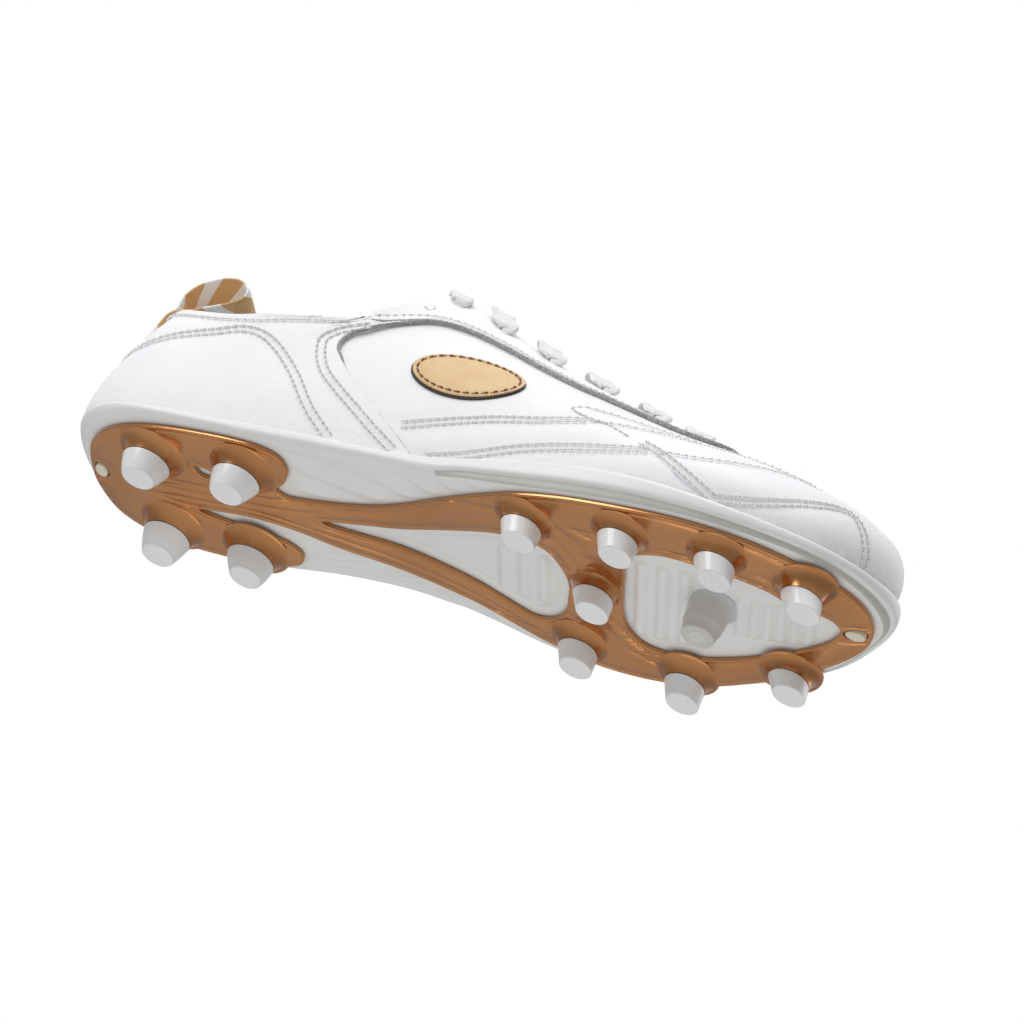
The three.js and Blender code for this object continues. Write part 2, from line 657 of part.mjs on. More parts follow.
function midQuarter(side) {
  const gap = 0.05;
  const high = (w) => {
    if (w < 4.9) return 0.38;
    if (w > 8.645) return seamHeight(w + gap) - 0.005;
    return facingLow(w) + lerp(0.02, UNDER_FACING, clamp((w - 5.1) / 0.5, 0, 1));
  };
  const stations = stationsBetween(4.26, 10.95, [4.88, 4.9, 8.64, 8.65, 8.7, 9.5]);
  return sidePanel(side, stations, 7, MARGIN, high, LAYER1);
}

function heelQuarter(side) {
  const stations = stationsBetween(0.02, 6.7, [4.74, 4.8, 4.9, 5.35, 5.75, 6.2]);
  const high = (w) => (w < 4.77 ? collarEdge(w) : heelPanelFront(w));
  return sidePanel(side, stations, 7, 0.016, high, LAYER2);
}

function facingHigh(side) {
  const edge = stationsBetween(5.85, 11).map((w) => {
    const q = onSide(side, w);
    const open = heightAtReach(q, THROAT_HALF, 0);
    return [w, open];
  });
  const gapEdge = polyline(edge);
  return (w) => {
    if (w < 5.85) return facingTop(w);
    return lerp(gapEdge(w), 0.985, clamp((w - 10.3) / 0.12, 0, 1));
  };
}

function facing(side) {
  const high = facingHigh(side);
  const stations = stationsBetween(4.82, 10.95, [5.44, 5.5, 5.7, 5.85, 10.3, 10.36, 10.42, 10.8]);
  const steps = [0, 0.07, 0.1, 0.6, 1];
  const column = (w, off, inside) => {
    const q = onSide(side, w);
    const lo = facingLow(w);
    const hi = high(w);
    const shelf = w > 5.47 && w < 10.33;
    const foot = lo + UNDER_FACING + 0.015;
    const marks = w > 5.4 && w < 10.4
      ? [lo, foot, foot + 0.03, (foot + 0.03 + hi) / 2, hi]
      : steps.map((s) => lerp(lo, hi, s));
    return marks.map((t, j) => skin(q, t, inside && shelf && j >= 2 ? FACING_INNER : off));
  };
  const outer = stations.map((w) => column(w, LAYER2[1], false));
  const inner = stations.map((w) => column(w, LAYER2[0], true));
  let solid = toSolid(sheet(outer, inner));
  for (const hole of eyeletCutters(side)) solid = solid.subtract(hole);
  return fromSolid(solid);
}

function cutterAt(q, t) {
  const g = new THREE.CylinderGeometry(EYELET_RADIUS, EYELET_RADIUS, 14, 8);
  const n = ribNormal(q, t);
  g.applyQuaternion(new THREE.Quaternion().setFromUnitVectors(vec(0, 1, 0), n));
  const p = skin(q, t, 2);
  g.translate(p.x, p.y, p.z);
  return toSolid(g);
}

function eyeletCutters(side) {
  const row = EYELET_STATIONS.map((w) => {
    const q = onSide(side, w);
    return cutterAt(q, heightAtReach(q, EYELET_REACH, 0));
  });
  return [...row, cutterAt(onSide(side, SPARE_EYELET[0]), SPARE_EYELET[1])];
}

// Plain oval patch lying level on the quarter, centred at a station and height.
const PATCH = { centre: [6.95, 0.355], half: [20, 11], scale: [22, 78] };
function sidePatch(side) {
  const stations = 16;
  const inner = [];
  const outer = [];
  for (let i = 0; i <= stations; i += 1) {
    const turn = (Math.PI * i) / stations;
    const w = PATCH.centre[0] - (PATCH.half[0] * Math.cos(turn)) / PATCH.scale[0];
    const wide = i % stations === 0 ? 0 : (PATCH.half[1] * Math.sin(turn)) / PATCH.scale[1];
    const q = onSide(side, w);
    const rowIn = [];
    const rowOut = [];
    for (let j = 0; j <= 4; j += 1) {
      const t = PATCH.centre[1] + lerp(-wide, wide, j / 4);
      rowIn.push(skin(q, t, LAYER2[0]));
      rowOut.push(skin(q, t, LAYER2[1] - 0.1));
    }
    inner.push(rowIn);
    outer.push(rowOut);
  }
  return sheet(outer, inner);
}

// ---------------------------------------------------------------- tongue and pull loop
const TONGUE = { first: 5.8, last: 10.9, reach: 0.66, outer: -2.6, inner: -4.6 };
function tongue() {
  const rows = stationsBetween(TONGUE.first, TONGUE.last);
  const columns = 10;
  const grid = (off) => Array.from({ length: columns + 1 }, (_, i) => {
    const b = i / columns;
    const side = b <= 0.5 ? -1 : 1;
    const f = 2 * Math.min(b, 1 - b);
    return rows.map((w) => {
      const round = w < TONGUE.first + 0.4 && f < 0.2 ? 0.25 * (1 - f / 0.2) : 0;
      return skin(onSide(side, w + round), lerp(TONGUE.reach, 1, f), off);
    });
  });
  return sheet(grid(TONGUE.outer), grid(TONGUE.inner));
}

const LOOP_PATH = [
  [-25.2, 75.6], [-26.2, 83], [-23, 91.5], [-16.5, 97], [-10, 97.8], [-5.8, 94], [-5.6, 89],
  [-9.5, 84.5], [-15.5, 80.5], [-21.5, 76.6],
];
const LOOP_WIDTH = 16;
const LOOP_THICK = 1.4;
function pullLoop() {
  const path = new THREE.CatmullRomCurve3(LOOP_PATH.map(([x, z]) => vec(x, 0, z)), true);
  const loops = [];
  const count = 28;
  for (let i = 0; i < count; i += 1) {
    const p = path.getPointAt(i / count);
    const tan = path.getTangentAt(i / count);
    const n = vec(-tan.z, 0, tan.x).multiplyScalar(LOOP_THICK / 2);
    const half = vec(0, LOOP_WIDTH / 2, 0);
    loops.push([
      p.clone().add(n).sub(half), p.clone().add(n).add(half),
      p.clone().sub(n).add(half), p.clone().sub(n).sub(half),
    ]);
  }
  return loft(loops, { closed: true });
}

// ---------------------------------------------------------------- lace
// Lace way-points: station, distance from the ridge (- lateral, + medial), offset, neck factor.
function overCrossing(wa, wb, sign, profile) {
  return profile.map(([d, off]) => {
    const f = (d + EYELET_REACH) / (2 * EYELET_REACH);
    return [lerp(wa, wb, f), sign * d, off, 0];
  });
}
const OVER = [
  [-13, 5.3], [-10.5, 5.1], [-5, 3.1], [0, 2.0], [5, 3.6], [7.4, 2.2], [9.4, -0.8], [13.6, -1.3],
];
const UNDER = [
  [-13, 5.3], [-10.5, 4.9], [-5, 2.3], [0, 0.1], [5, -0.7], [8, -1.1], [11, -1.3], [13.6, -1.3],
];

function throughEyelet(w, sign, upward) {
  const reach = EYELET_REACH;
  const list = [[15.7, -0.9], [reach, 0.5], [reach, 2.2], [reach, 4.0], [15.6, 5.1]]
    .map(([d, off]) => [w, sign * d, off, 1]);
  return upward ? list : list.reverse();
}

function strand(firstSign, overFirst) {
  const pts = [];
  let sign = firstSign;
  for (let k = 0; k < EYELET_STATIONS.length; k += 1) {
    pts.push(...throughEyelet(EYELET_STATIONS[k], sign, true));
    if (k === EYELET_STATIONS.length - 1) break;
    const over = (k % 2 === 0) === overFirst;
    pts.push(...overCrossing(EYELET_STATIONS[k], EYELET_STATIONS[k + 1], -sign, over ? OVER : UNDER));
    sign = -sign;
  }
  const end = [
    [6.0, 13.2, 5.0], [5.93, 10.6, 4.9], [5.88, 8.9, 2.4], [5.84, 9.6, -0.6], [5.82, 12, -1.4],
    [5.78, 18, -1.4], [5.72, 28, -1.4], [5.66, 40, -1.8], [5.62, 52, -2.4],
  ];
  pts.push(...end.map(([w, d, off]) => [w, sign * d, off, 0]));
  return pts;
}

function laceWaypoints() {
  const bar = [-13.6, -8, 0, 8, 13.6].map((d) => {
    const off = Math.abs(d) > 10 ? -1.2 : -1.6;
    return [EYELET_STATIONS[0], d, off, 0];
  });
  const lateral = strand(-1, true);
  const medial = strand(1, false);
  return [...lateral.reverse(), ...bar, ...medial];
}

function surfaceAt(w, d, off) {
  const q = onSide(d < 0 ? -1 : 1, w);
  return skin(q, heightAtReach(q, Math.abs(d), 0), off);
}

function laceSamples() {
  const way = laceWaypoints();
  const pts = way.map(([w, d, off]) => surfaceAt(w, d, off));
  const curve = new THREE.CatmullRomCurve3(pts, false, 'centripetal');
  const samples = [];
  const count = pts.length - 1;
  for (let i = 0; i < count; i += 1) {
    const parts = Math.max(1, Math.round(pts[i].distanceTo(pts[i + 1]) / 5.5));
    for (let s = 0; s < parts; s += 1) {
      const mix = way[i].map((v, c) => lerp(v, way[i + 1][c], s / parts));
      samples.push([(i + s / parts) / count, mix]);
    }
  }
  samples.push([1, way[count]]);
  return samples.map(([u, [w, d, , neck]]) => {
    const tangent = curve.getTangent(u);
    const ahead = surfaceAt(w + 0.1, d, 0).sub(surfaceAt(w - 0.1, d, 0)).normalize();
    const wide = ahead.addScaledVector(tangent, -ahead.dot(tangent)).normalize();
    const thick = tangent.clone().cross(wide).normalize();
    return { p: curve.getPoint(u), tangent, wide, thick, neck };
  });
}

function laceLoop({ p, wide, thick, neck }) {
  const a = wide.clone().multiplyScalar(lerp(LACE.width, LACE.neck, neck) / 2);
  const b = thick.clone().multiplyScalar(LACE.thick / 2);
  return [
    p.clone().sub(a).sub(b), p.clone().add(a).sub(b), p.clone().add(a).add(b),
    p.clone().sub(a).add(b),
  ];
}

const AGLET_LENGTH = 14;
const AGLET_RADIUS = 1.2;
function aglet({ p, tangent }, direction) {
  const axis = tangent.clone().multiplyScalar(direction);
  const g = new THREE.CylinderGeometry(AGLET_RADIUS, AGLET_RADIUS, AGLET_LENGTH, 10);
  g.applyQuaternion(new THREE.Quaternion().setFromUnitVectors(vec(0, 1, 0), axis));
  const c = p.clone().addScaledVector(axis, AGLET_LENGTH / 2 + JOINT_GAP);
  g.translate(c.x, c.y, c.z);
  for (const name of ['normal', 'uv']) g.deleteAttribute(name);
  return mergeVertices(g, WELD);
}

// ---------------------------------------------------------------- assembly
const heelStuds = HEEL_STUDS.map((s) => studLayout(s, true));
const foreStuds = FORE_STUDS.map((s) => studLayout(s, false));
const framedStuds = [...heelStuds, ...foreStuds];

addPart('outsole_plate', outsolePlate(), WHITE_TPU);
addPart('outsole_frame', outsoleFrame(framedStuds), GOLD_TPU);
for (const s of framedStuds) addPart(s.name, studTip(s), STUD_WHITE);
addPart(WINDOW_STUD[0], windowStud(studLayout(WINDOW_STUD, false)), FROSTED);
addPart('toe_plug', slotPlug(TOE_SLOT), STUD_WHITE);
addPart('heel_plug', slotPlug(HEEL_SLOT), STUD_WHITE);

addPart('insole_board', floorSheet(BOARD, BOARD.gap, 0, STATIONS), BOARD_FIBRE);
addPart(
  'sockliner',
  floorSheet(SOCK, BOARD.gap + BOARD.thick + SOCK.gap, 0, STATIONS),
  SOCK_TEXTILE,
);

addPart('quarter_lining', quarterLining(), LINING_TEXTILE);
addPart('vamp_lining', forePanel(8.6, constant(8.6), LINING), LINING_TEXTILE);
addPart('vamp', forePanel(8.7, vampSeamStation, LAYER1), WHITE_LEATHER);
addPart('heel_counter', heelCounter(), COUNTER_BOARD);
addPart('collar_foam', collarFoam(), FOAM);
for (const [side, word] of [[-1, 'lateral'], [1, 'medial']]) {
  addPart(`mid_quarter_${word}`, midQuarter(side), WHITE_LEATHER);
  addPart(`heel_quarter_${word}`, heelQuarter(side), WHITE_LEATHER);
  addPart(`facing_${word}`, facing(side), WHITE_LEATHER);
  addPart(`side_patch_${word}`, sidePatch(side), GOLD_LEATHER);
}
addPart('tongue', tongue(), WHITE_LEATHER);
addPart('pull_loop', pullLoop(), WEBBING);

const samples = laceSamples();
addPart('lace', loft(samples.map(laceLoop)), LACE_WHITE);
addPart('aglet_lateral_end', aglet(samples[0], -1), AGLET);
addPart('aglet_medial_end', aglet(samples[samples.length - 1], 1), AGLET);

export default boot;
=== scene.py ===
"""Looks of a right firm-ground soccer cleat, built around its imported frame.

Lengths are millimetres in the last's own frame until make() shifts them into the part's frame
in metres. w counts rib stations from heel (0) to toe (15) along one side, q runs once round the
boot (lateral side 0 to 15, medial side 15 to 30), and t climbs a rib from the sole to the ridge.
"""
import math

import bpy
import bmesh
import numpy as np
from mathutils import Matrix


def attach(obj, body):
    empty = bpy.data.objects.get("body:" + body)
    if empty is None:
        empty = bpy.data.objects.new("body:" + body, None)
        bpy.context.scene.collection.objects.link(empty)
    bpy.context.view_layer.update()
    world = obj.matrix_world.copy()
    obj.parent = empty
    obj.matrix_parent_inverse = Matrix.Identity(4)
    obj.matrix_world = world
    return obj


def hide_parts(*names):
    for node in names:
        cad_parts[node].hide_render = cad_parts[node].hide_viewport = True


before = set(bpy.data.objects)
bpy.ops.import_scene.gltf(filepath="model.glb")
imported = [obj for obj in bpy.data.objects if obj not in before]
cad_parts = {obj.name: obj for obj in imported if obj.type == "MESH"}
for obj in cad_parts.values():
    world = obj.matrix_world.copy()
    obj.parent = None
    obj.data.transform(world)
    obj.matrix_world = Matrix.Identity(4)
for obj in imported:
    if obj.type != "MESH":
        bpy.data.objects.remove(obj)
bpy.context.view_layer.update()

SHIFT = np.array((-103.5, 5.0, 0.0))
STATIONS = 15
RING = 30
LATERAL, MEDIAL = -1, 1
SIDES = ((LATERAL, "lateral"), (MEDIAL, "medial"))
LAYER1 = (1.6, 2.6)
LAYER2 = (3.0, 4.1)
PLATE_LIFT = 1.3
PLATE_THICK = 2.3
FRAME_DROP = 0.6
FRAME_THICK = 1.6
PAD_DEPTH = 0.2


# ------------------------------------------------------------------ camera, lights, floor
def add_camera():
    """Long lens looking up at the sole from the outer side, rolled so that the toe is low."""
    azimuth, elevation, roll = np.radians((22.816, -32.715, 26.863))
    back = np.array((
        math.sin(azimuth) * math.cos(elevation),
        -math.cos(azimuth) * math.cos(elevation),
        math.sin(elevation),
    ))
    right = np.cross((0, 0, 1), back)
    right /= np.linalg.norm(right)
    up = np.cross(back, right)
    x_axis = right * math.cos(roll) + up * math.sin(roll)
    y_axis = up * math.cos(roll) - right * math.sin(roll)
    place = np.array((0.01352, -0.00827, 0.02519)) + back * 1.5558
    data = bpy.data.cameras.new("camera")
    data.lens = 173.4
    data.sensor_width = 36
    data.clip_end = 50
    cam = bpy.data.objects.new("camera", data)
    world = Matrix.Identity(4)
    for row in range(3):
        world[row][0], world[row][1], world[row][2] = x_axis[row], y_axis[row], back[row]
        world[row][3] = place[row]
    cam.matrix_world = world
    bpy.context.scene.collection.objects.link(cam)
    bpy.context.scene.camera = cam


def add_area(name, place, target, size, power, colour=(1, 1, 1)):
    data = bpy.data.lights.new(name, "AREA")
    data.shape = "DISK"
    data.size = size
    data.energy = power
    data.color = colour
    lamp = bpy.data.objects.new(name, data)
    direction = np.array(target, float) - np.array(place, float)
    quat = Matrix.Identity(4)
    z_axis = -direction / np.linalg.norm(direction)
    x_axis = np.cross((0, 0, 1.0), z_axis)
    if np.linalg.norm(x_axis) < 1e-6:
        x_axis = np.array((1.0, 0, 0))
    x_axis /= np.linalg.norm(x_axis)
    y_axis = np.cross(z_axis, x_axis)
    for row in range(3):
        quat[row][0], quat[row][1], quat[row][2] = x_axis[row], y_axis[row], z_axis[row]
        quat[row][3] = place[row]
    lamp.matrix_world = quat
    bpy.context.scene.collection.objects.link(lamp)


def add_world():
    """White backdrop to the camera; softer, darker-below sky for the light."""
    world = bpy.data.worlds.new("studio")
    world.use_nodes = True
    tree = world.node_tree
    tree.nodes.clear()
    new = tree.nodes.new
    out, mix, path = new("ShaderNodeOutputWorld"), new("ShaderNodeMixShader"), new("ShaderNodeLightPath")
    seen, sky = new("ShaderNodeBackground"), new("ShaderNodeBackground")
    seen.inputs["Color"].default_value = (1, 1, 1, 1)
    coord, along, ramp = new("ShaderNodeTexCoord"), new("ShaderNodeVectorMath"), new("ShaderNodeValToRGB")
    along.operation = "DOT_PRODUCT"
    along.inputs[1].default_value = (-0.12, 0.0, 0.99)
    half = new("ShaderNodeMath")
    half.operation = "MULTIPLY_ADD"
    half.inputs[1].default_value = 0.5
    half.inputs[2].default_value = 0.5
    stops = ramp.color_ramp.elements
    stops[0].position, stops[0].color = 0.0, (0.78, 0.78, 0.77, 1)
    stops[1].position, stops[1].color = 1.0, (1.0, 1.0, 1.01, 1)
    for position, grey in ((0.25, 0.66), (0.42, 0.40), (0.58, 0.34), (0.7, 0.5), (0.85, 0.9)):
        stops.new(position).color = (grey, grey, grey * 1.01, 1)
    link = tree.links.new
    link(coord.outputs["Generated"], along.inputs[0])
    link(along.outputs["Value"], half.inputs[0])
    link(half.outputs[0], ramp.inputs[0])
    link(ramp.outputs["Color"], sky.inputs["Color"])
    sky.inputs["Strength"].default_value = 0.92
    link(path.outputs["Is Camera Ray"], mix.inputs[0])
    link(sky.outputs[0], mix.inputs[1])
    link(seen.outputs[0], mix.inputs[2])
    link(mix.outputs[0], out.inputs["Surface"])
    bpy.context.scene.world = world


def add_floor():
    """Pale floor that only the camera sees, and only from above, so that it never hides the sole."""
    mesh = bpy.data.meshes.new("floor")
    r, z = 4.0, -0.0004
    mesh.from_pydata([(-r, -r, z), (r, -r, z), (r, r, z), (-r, r, z)], [], [(0, 1, 2, 3)])
    floor = bpy.data.objects.new("floor", mesh)
    bpy.context.scene.collection.objects.link(floor)
    mat = bpy.data.materials.new("floor_pale")
    mat.use_nodes = True
    tree = mat.node_tree
    bsdf = tree.nodes["Principled BSDF"]
    bsdf.inputs["Base Color"].default_value = (0.82, 0.82, 0.82, 1)
    bsdf.inputs["Roughness"].default_value = 0.6
    clear, mix, geo = (tree.nodes.new(k) for k in (
        "ShaderNodeBsdfTransparent", "ShaderNodeMixShader", "ShaderNodeNewGeometry"))
    tree.links.new(geo.outputs["Backfacing"], mix.inputs[0])
    tree.links.new(bsdf.outputs[0], mix.inputs[1])
    tree.links.new(clear.outputs[0], mix.inputs[2])
    tree.links.new(mix.outputs[0], tree.nodes["Material Output"].inputs["Surface"])
    mesh.materials.append(mat)
    for flag in ("visible_diffuse", "visible_glossy", "visible_transmission", "visible_shadow"):
        setattr(floor, flag, False)


add_camera()
add_world()
add_floor()
add_area("key", (-0.78, -0.98, 0.62), (0, 0, 0.04), 0.8, 7)
add_area("top", (-0.2, -0.5, 1.7), (0, 0, 0.05), 1.2, 9)
add_area("rim", (0.9, 1.1, 1.2), (0, 0, 0.05), 1.2, 3)
add_area("sole_fill", (0.1, 0.5, -1.4), (0, 0, 0.02), 0.9, 1.5)
bpy.context.scene.view_settings.view_transform = "Standard"

# ------------------------------------------------------------------ the last, as in the frame
SOLE_LEVEL = (
    (-40, 16.5), (-27, 14), (-10, 13), (30, 13), (60, 14.5), (80, 15), (105, 13.5),
    (130, 11.5), (170, 11.5), (200, 13.5), (225, 17), (243, 21.5), (250, 23.5),
)
HEEL_RIB = (-31.5, 0.5, 22, -18, 0, 112, 180, 4, 23, -2, 37)
TOE_RIB = (238.5, -5, 32, 221, -4.5, 55.3, 360, 4, 9, 14, 0.5)
LATERAL_RIBS = (
    (-28, -14, 20, -13, -10, 112, 203, 4, 23, -2, 37),
    (-17, -24.5, 18.5, 0, -19, 112, 235, 3, 24, -3, 37),
    (0, -28.5, 18, 16, -23, 112, 260, 2.5, 24, -4, 37),
    (22, -29.5, 18.5, 33, -22, 112, 268, 2.5, 24, -3, 36),
    (46, -30, 20, 49, -13, 112, 270, 3, 27, 4, 26),
    (70, -30.5, 20.5, 66, 0.5, 109, 268, 4, 33, 15, 7),
    (95, -33, 21.5, 89, 1, 98.2, 260, 5, 35, 15.5, 4),
    (118, -39, 22.5, 112, 1.5, 87.7, 256, 5.5, 33, 14, 3),
    (142, -44.5, 23, 137, 2, 78.7, 262, 5.5, 27, 14.5, 2.5),
    (166, -47.5, 22.5, 161, 1, 70.4, 270, 5, 22, 15, 2.2),
    (188, -46.5, 21.5, 183, -1, 65.4, 278, 5, 19, 19, 1.5),
    (207, -41.5, 22, 200, -2.5, 61.5, 293, 5, 16, 19.5, 1.5),
    (223, -33, 24, 211, -3.5, 58.8, 312, 5, 13, 18, 1.5),
    (234, -20, 28, 218, -4.2, 56.3, 336, 5, 10, 15, 1),
)
MEDIAL_RIBS = (
    (-28, 14, 20, -13, 10, 112, 157, 4, 23, -2, 37),
    (-17, 26, 18.5, 0, 19, 112, 125, 3, 24, -3, 37),
    (0, 31, 18, 16, 23, 112, 98, 2.5, 24, -4, 37),
    (22, 31, 18.5, 33, 22, 112, 88, 2.5, 24, -3, 36),
    (46, 28, 20, 49, 14, 112, 86, 3, 27, 4, 26),
    (70, 26.5, 20.5, 66, 0.5, 109, 90, 4, 33, 14, 7),
    (95, 27.5, 21.5, 89, 1, 98.2, 96, 5, 35, 14, 4),
    (118, 31.5, 22.5, 112, 1.5, 87.7, 103, 5, 32, 14, 3),
    (142, 36.5, 23, 137, 2, 78.7, 98, 5, 28, 14, 2.5),
    (166, 37, 22.5, 161, 1, 70.4, 87, 4, 25, 14, 2.2),
    (188, 32, 21.5, 183, -1, 65.4, 70, 4, 20, 14, 1.5),
    (207, 24.5, 22, 200, -2.5, 61.5, 62, 4, 16, 15, 1.5),
    (223, 15, 24, 211, -3.5, 58.8, 48, 4, 13, 15, 1.5),
    (233, 5, 28, 218, -4.2, 56.3, 26, 4, 10, 13, 1),
)
COLLAR_EDGE = (
    (0, 0.61), (0.7, 0.6), (1.4, 0.57), (2, 0.54), (2.6, 0.535), (3.2, 0.56), (3.8, 0.6),
    (4.3, 0.62), (4.8, 0.63),
)
FACING_TOP = ((4.8, 0.66), (5.0, 0.685), (5.2, 0.7), (5.5, 0.74), (5.7, 0.81), (5.85, 0.85))
FACING_LOW = (
    (4.8, 0.62), (5.3, 0.59), (6.2, 0.6), (7.2, 0.61), (7.9, 0.58), (8.5, 0.55), (9.4, 0.56),
    (10.2, 0.6), (10.6, 0.7), (10.95, 0.96),
)


def smooth_curve(points):
    """Interpolating curve through points with finite-difference slopes."""
    xs, ys = np.array(points, float).T
    k = np.arange(len(xs))
    lo, hi = np.maximum(k - 1, 0), np.minimum(k + 1, len(xs) - 1)
    slope = (ys[hi] - ys[lo]) / (xs[hi] - xs[lo])

    def at(x):
        x = np.clip(x, xs[0], xs[-1])
        i = np.clip(np.searchsorted(xs, x, side="left"), 1, len(xs) - 1)
        h = xs[i] - xs[i - 1]
        f = (x - xs[i - 1]) / h
        f2, f3 = f * f, f * f * f
        rise = h * (slope[i - 1] * (f3 - 2 * f2 + f) + slope[i] * (f3 - f2))
        return ys[i - 1] * (2 * f3 - 3 * f2 + 1) + ys[i] * (3 * f2 - 2 * f3) + rise

    return at


def closed_spline(rows):
    """Closed cubic spline through equally spaced rows."""
    y = np.array(rows, float)
    n = len(y)
    eye = np.eye(n)
    system = 4 * eye + np.roll(eye, 1, 0) + np.roll(eye, -1, 0)
    m = np.linalg.solve(system, 6 * (np.roll(y, 1, 0) - 2 * y + np.roll(y, -1, 0)))

    def at(u):
        q = np.mod(u, n)
        i = np.floor(q).astype(int) % n
        j = (i + 1) % n
        f = (q - np.floor(q))[..., None]
        k = f * (1 - f) / 6
        return y[i] * (1 - f) + y[j] * f - k * ((2 - f) * m[i] + (1 + f) * m[j])

    return at


def rib_controls(row):
    fx, fy, fz, ux, uy, uz, angle, o1, h1, o2, h2 = row
    nx, ny = math.cos(math.radians(angle)), math.sin(math.radians(angle))
    return (
        fx, fy, fz, fx + nx * o1, fy + ny * o1, fz + h1,
        ux + nx * o2, uy + ny * o2, uz - h2, ux, uy, uz,
    )


rib_spline = closed_spline([
    rib_controls(r) for r in (HEEL_RIB, *LATERAL_RIBS, TOE_RIB, *reversed(MEDIAL_RIBS))
])
sole_level = smooth_curve(SOLE_LEVEL)
collar_edge = smooth_curve(COLLAR_EDGE)
facing_top = smooth_curve(FACING_TOP)
facing_low = smooth_curve(FACING_LOW)


def rib_point(q, t):
    q, t = np.broadcast_arrays(np.asarray(q, float), np.asarray(t, float))
    c = rib_spline(q).reshape(q.shape + (4, 3))
    s, t = (1 - t)[..., None], t[..., None]
    return (s**3 * c[..., 0, :] + 3 * s * s * t * c[..., 1, :]
            + 3 * s * t * t * c[..., 2, :] + t**3 * c[..., 3, :])


def unit(v):
    return v / np.maximum(np.linalg.norm(v, axis=-1, keepdims=True), 1e-12)


def rib_normal(q, t):
    q, t = np.broadcast_arrays(np.asarray(q, float), np.asarray(t, float))
    top = np.where(np.abs(np.mod(q, RING) - STATIONS) < 1.5, 0.97, 0.995)
    tt = np.clip(t, 0.002, top)
    along = rib_point(q + 0.02, tt) - rib_point(q - 0.02, tt)
    up = rib_point(q, tt + 0.002) - rib_point(q, tt - 0.002)
    return unit(np.cross(along, up))


def floor_top(x):
    return sole_level(x) + PLATE_LIFT + PLATE_THICK


def skin(q, t, off):
    """Point of the upper at an offset from the inside face; t under 0 is the lasted margin."""
    q, t, off = np.broadcast_arrays(*(np.asarray(v, float) for v in (q, t, off)))
    tc = np.clip(t, 0, 1)
    p = rib_point(q, tc) + rib_normal(q, tc) * off[..., None]
    low = np.clip(t / -0.1, 0, 1)
    p[..., 2] = np.where(t < 0, p[..., 2] * (1 - low) + (floor_top(p[..., 0]) + 0.5) * low, p[..., 2])
    return p


def on_side(side, w):
    return w if side == LATERAL else RING - w


def foot_edge(q, off):
    n = rib_normal(q, 0.002)
    n[..., 2] = 0
    return rib_point(q, 0) + unit(n) * np.asarray(off, float)[..., None]


def height_at_reach(q, reach):
    """Rib height at a distance from the ridge measured along the inside face."""
    q, reach = np.broadcast_arrays(np.atleast_1d(np.asarray(q, float)), np.asarray(reach, float))
    ts = np.linspace(1, 0.2, 161)
    p = rib_point(q.reshape(-1, 1), ts[None])
    gone = np.concatenate([
        np.zeros((len(p), 1)), np.cumsum(np.linalg.norm(np.diff(p, axis=1), axis=-1), axis=1)
    ], 1)
    found = [np.interp(r, g, ts) for r, g in zip(reach.ravel(), gone)]
    return np.array(found).reshape(q.shape)


def ramp01(x, a, b):
    f = np.clip((x - a) / (b - a), 0, 1)
    return f * f * (3 - 2 * f)


def edged(n, near=(0.003, 0.009, 0.018, 0.032)):
    """Fractions 0 to 1 that crowd at both ends, where an edge rolls over."""
    near = np.array(near)
    return np.unique(np.concatenate([[0, 1], near, 1 - near, np.linspace(0.05, 0.95, n)]))


def catmull(points, per=8, closed=False):
    """Dense points on a centripetal Catmull-Rom curve."""
    p = np.array(points, float)
    n = len(p)
    if closed:
        ext = np.vstack([p[-1], p, p[0], p[1]])
        spans = n
    else:
        ext = np.vstack([2 * p[0] - p[1], p, 2 * p[-1] - p[-2]])
        spans = n - 1
    out = []
    f = np.linspace(0, 1, per, endpoint=False)[:, None]
    for i in range(spans):
        a, b, c, d = ext[i:i + 4]
        d0, d1, d2 = (max(np.linalg.norm(v) ** 0.5, 1e-6) for v in (b - a, c - b, d - c))
        m1 = ((b - a) / d0 - (c - a) / (d0 + d1) + (c - b) / d1) * d1
        m2 = ((c - b) / d1 - (d - b) / (d1 + d2) + (d - c) / d2) * d1
        out.append(b * (2 * f**3 - 3 * f**2 + 1) + m1 * (f**3 - 2 * f**2 + f)
                   + c * (3 * f**2 - 2 * f**3) + m2 * (f**3 - f**2))
    if not closed:
        out.append(p[-1:])
    return np.vstack(out)


def resample(p, step):
    """Points at equal steps along a dense polyline."""
    s = np.concatenate([[0], np.cumsum(np.linalg.norm(np.diff(p, axis=0), axis=1))])
    at = np.linspace(0, s[-1], max(2, int(round(s[-1] / step)) + 1))
    return np.stack([np.interp(at, s, p[:, k]) for k in range(p.shape[1])], 1)


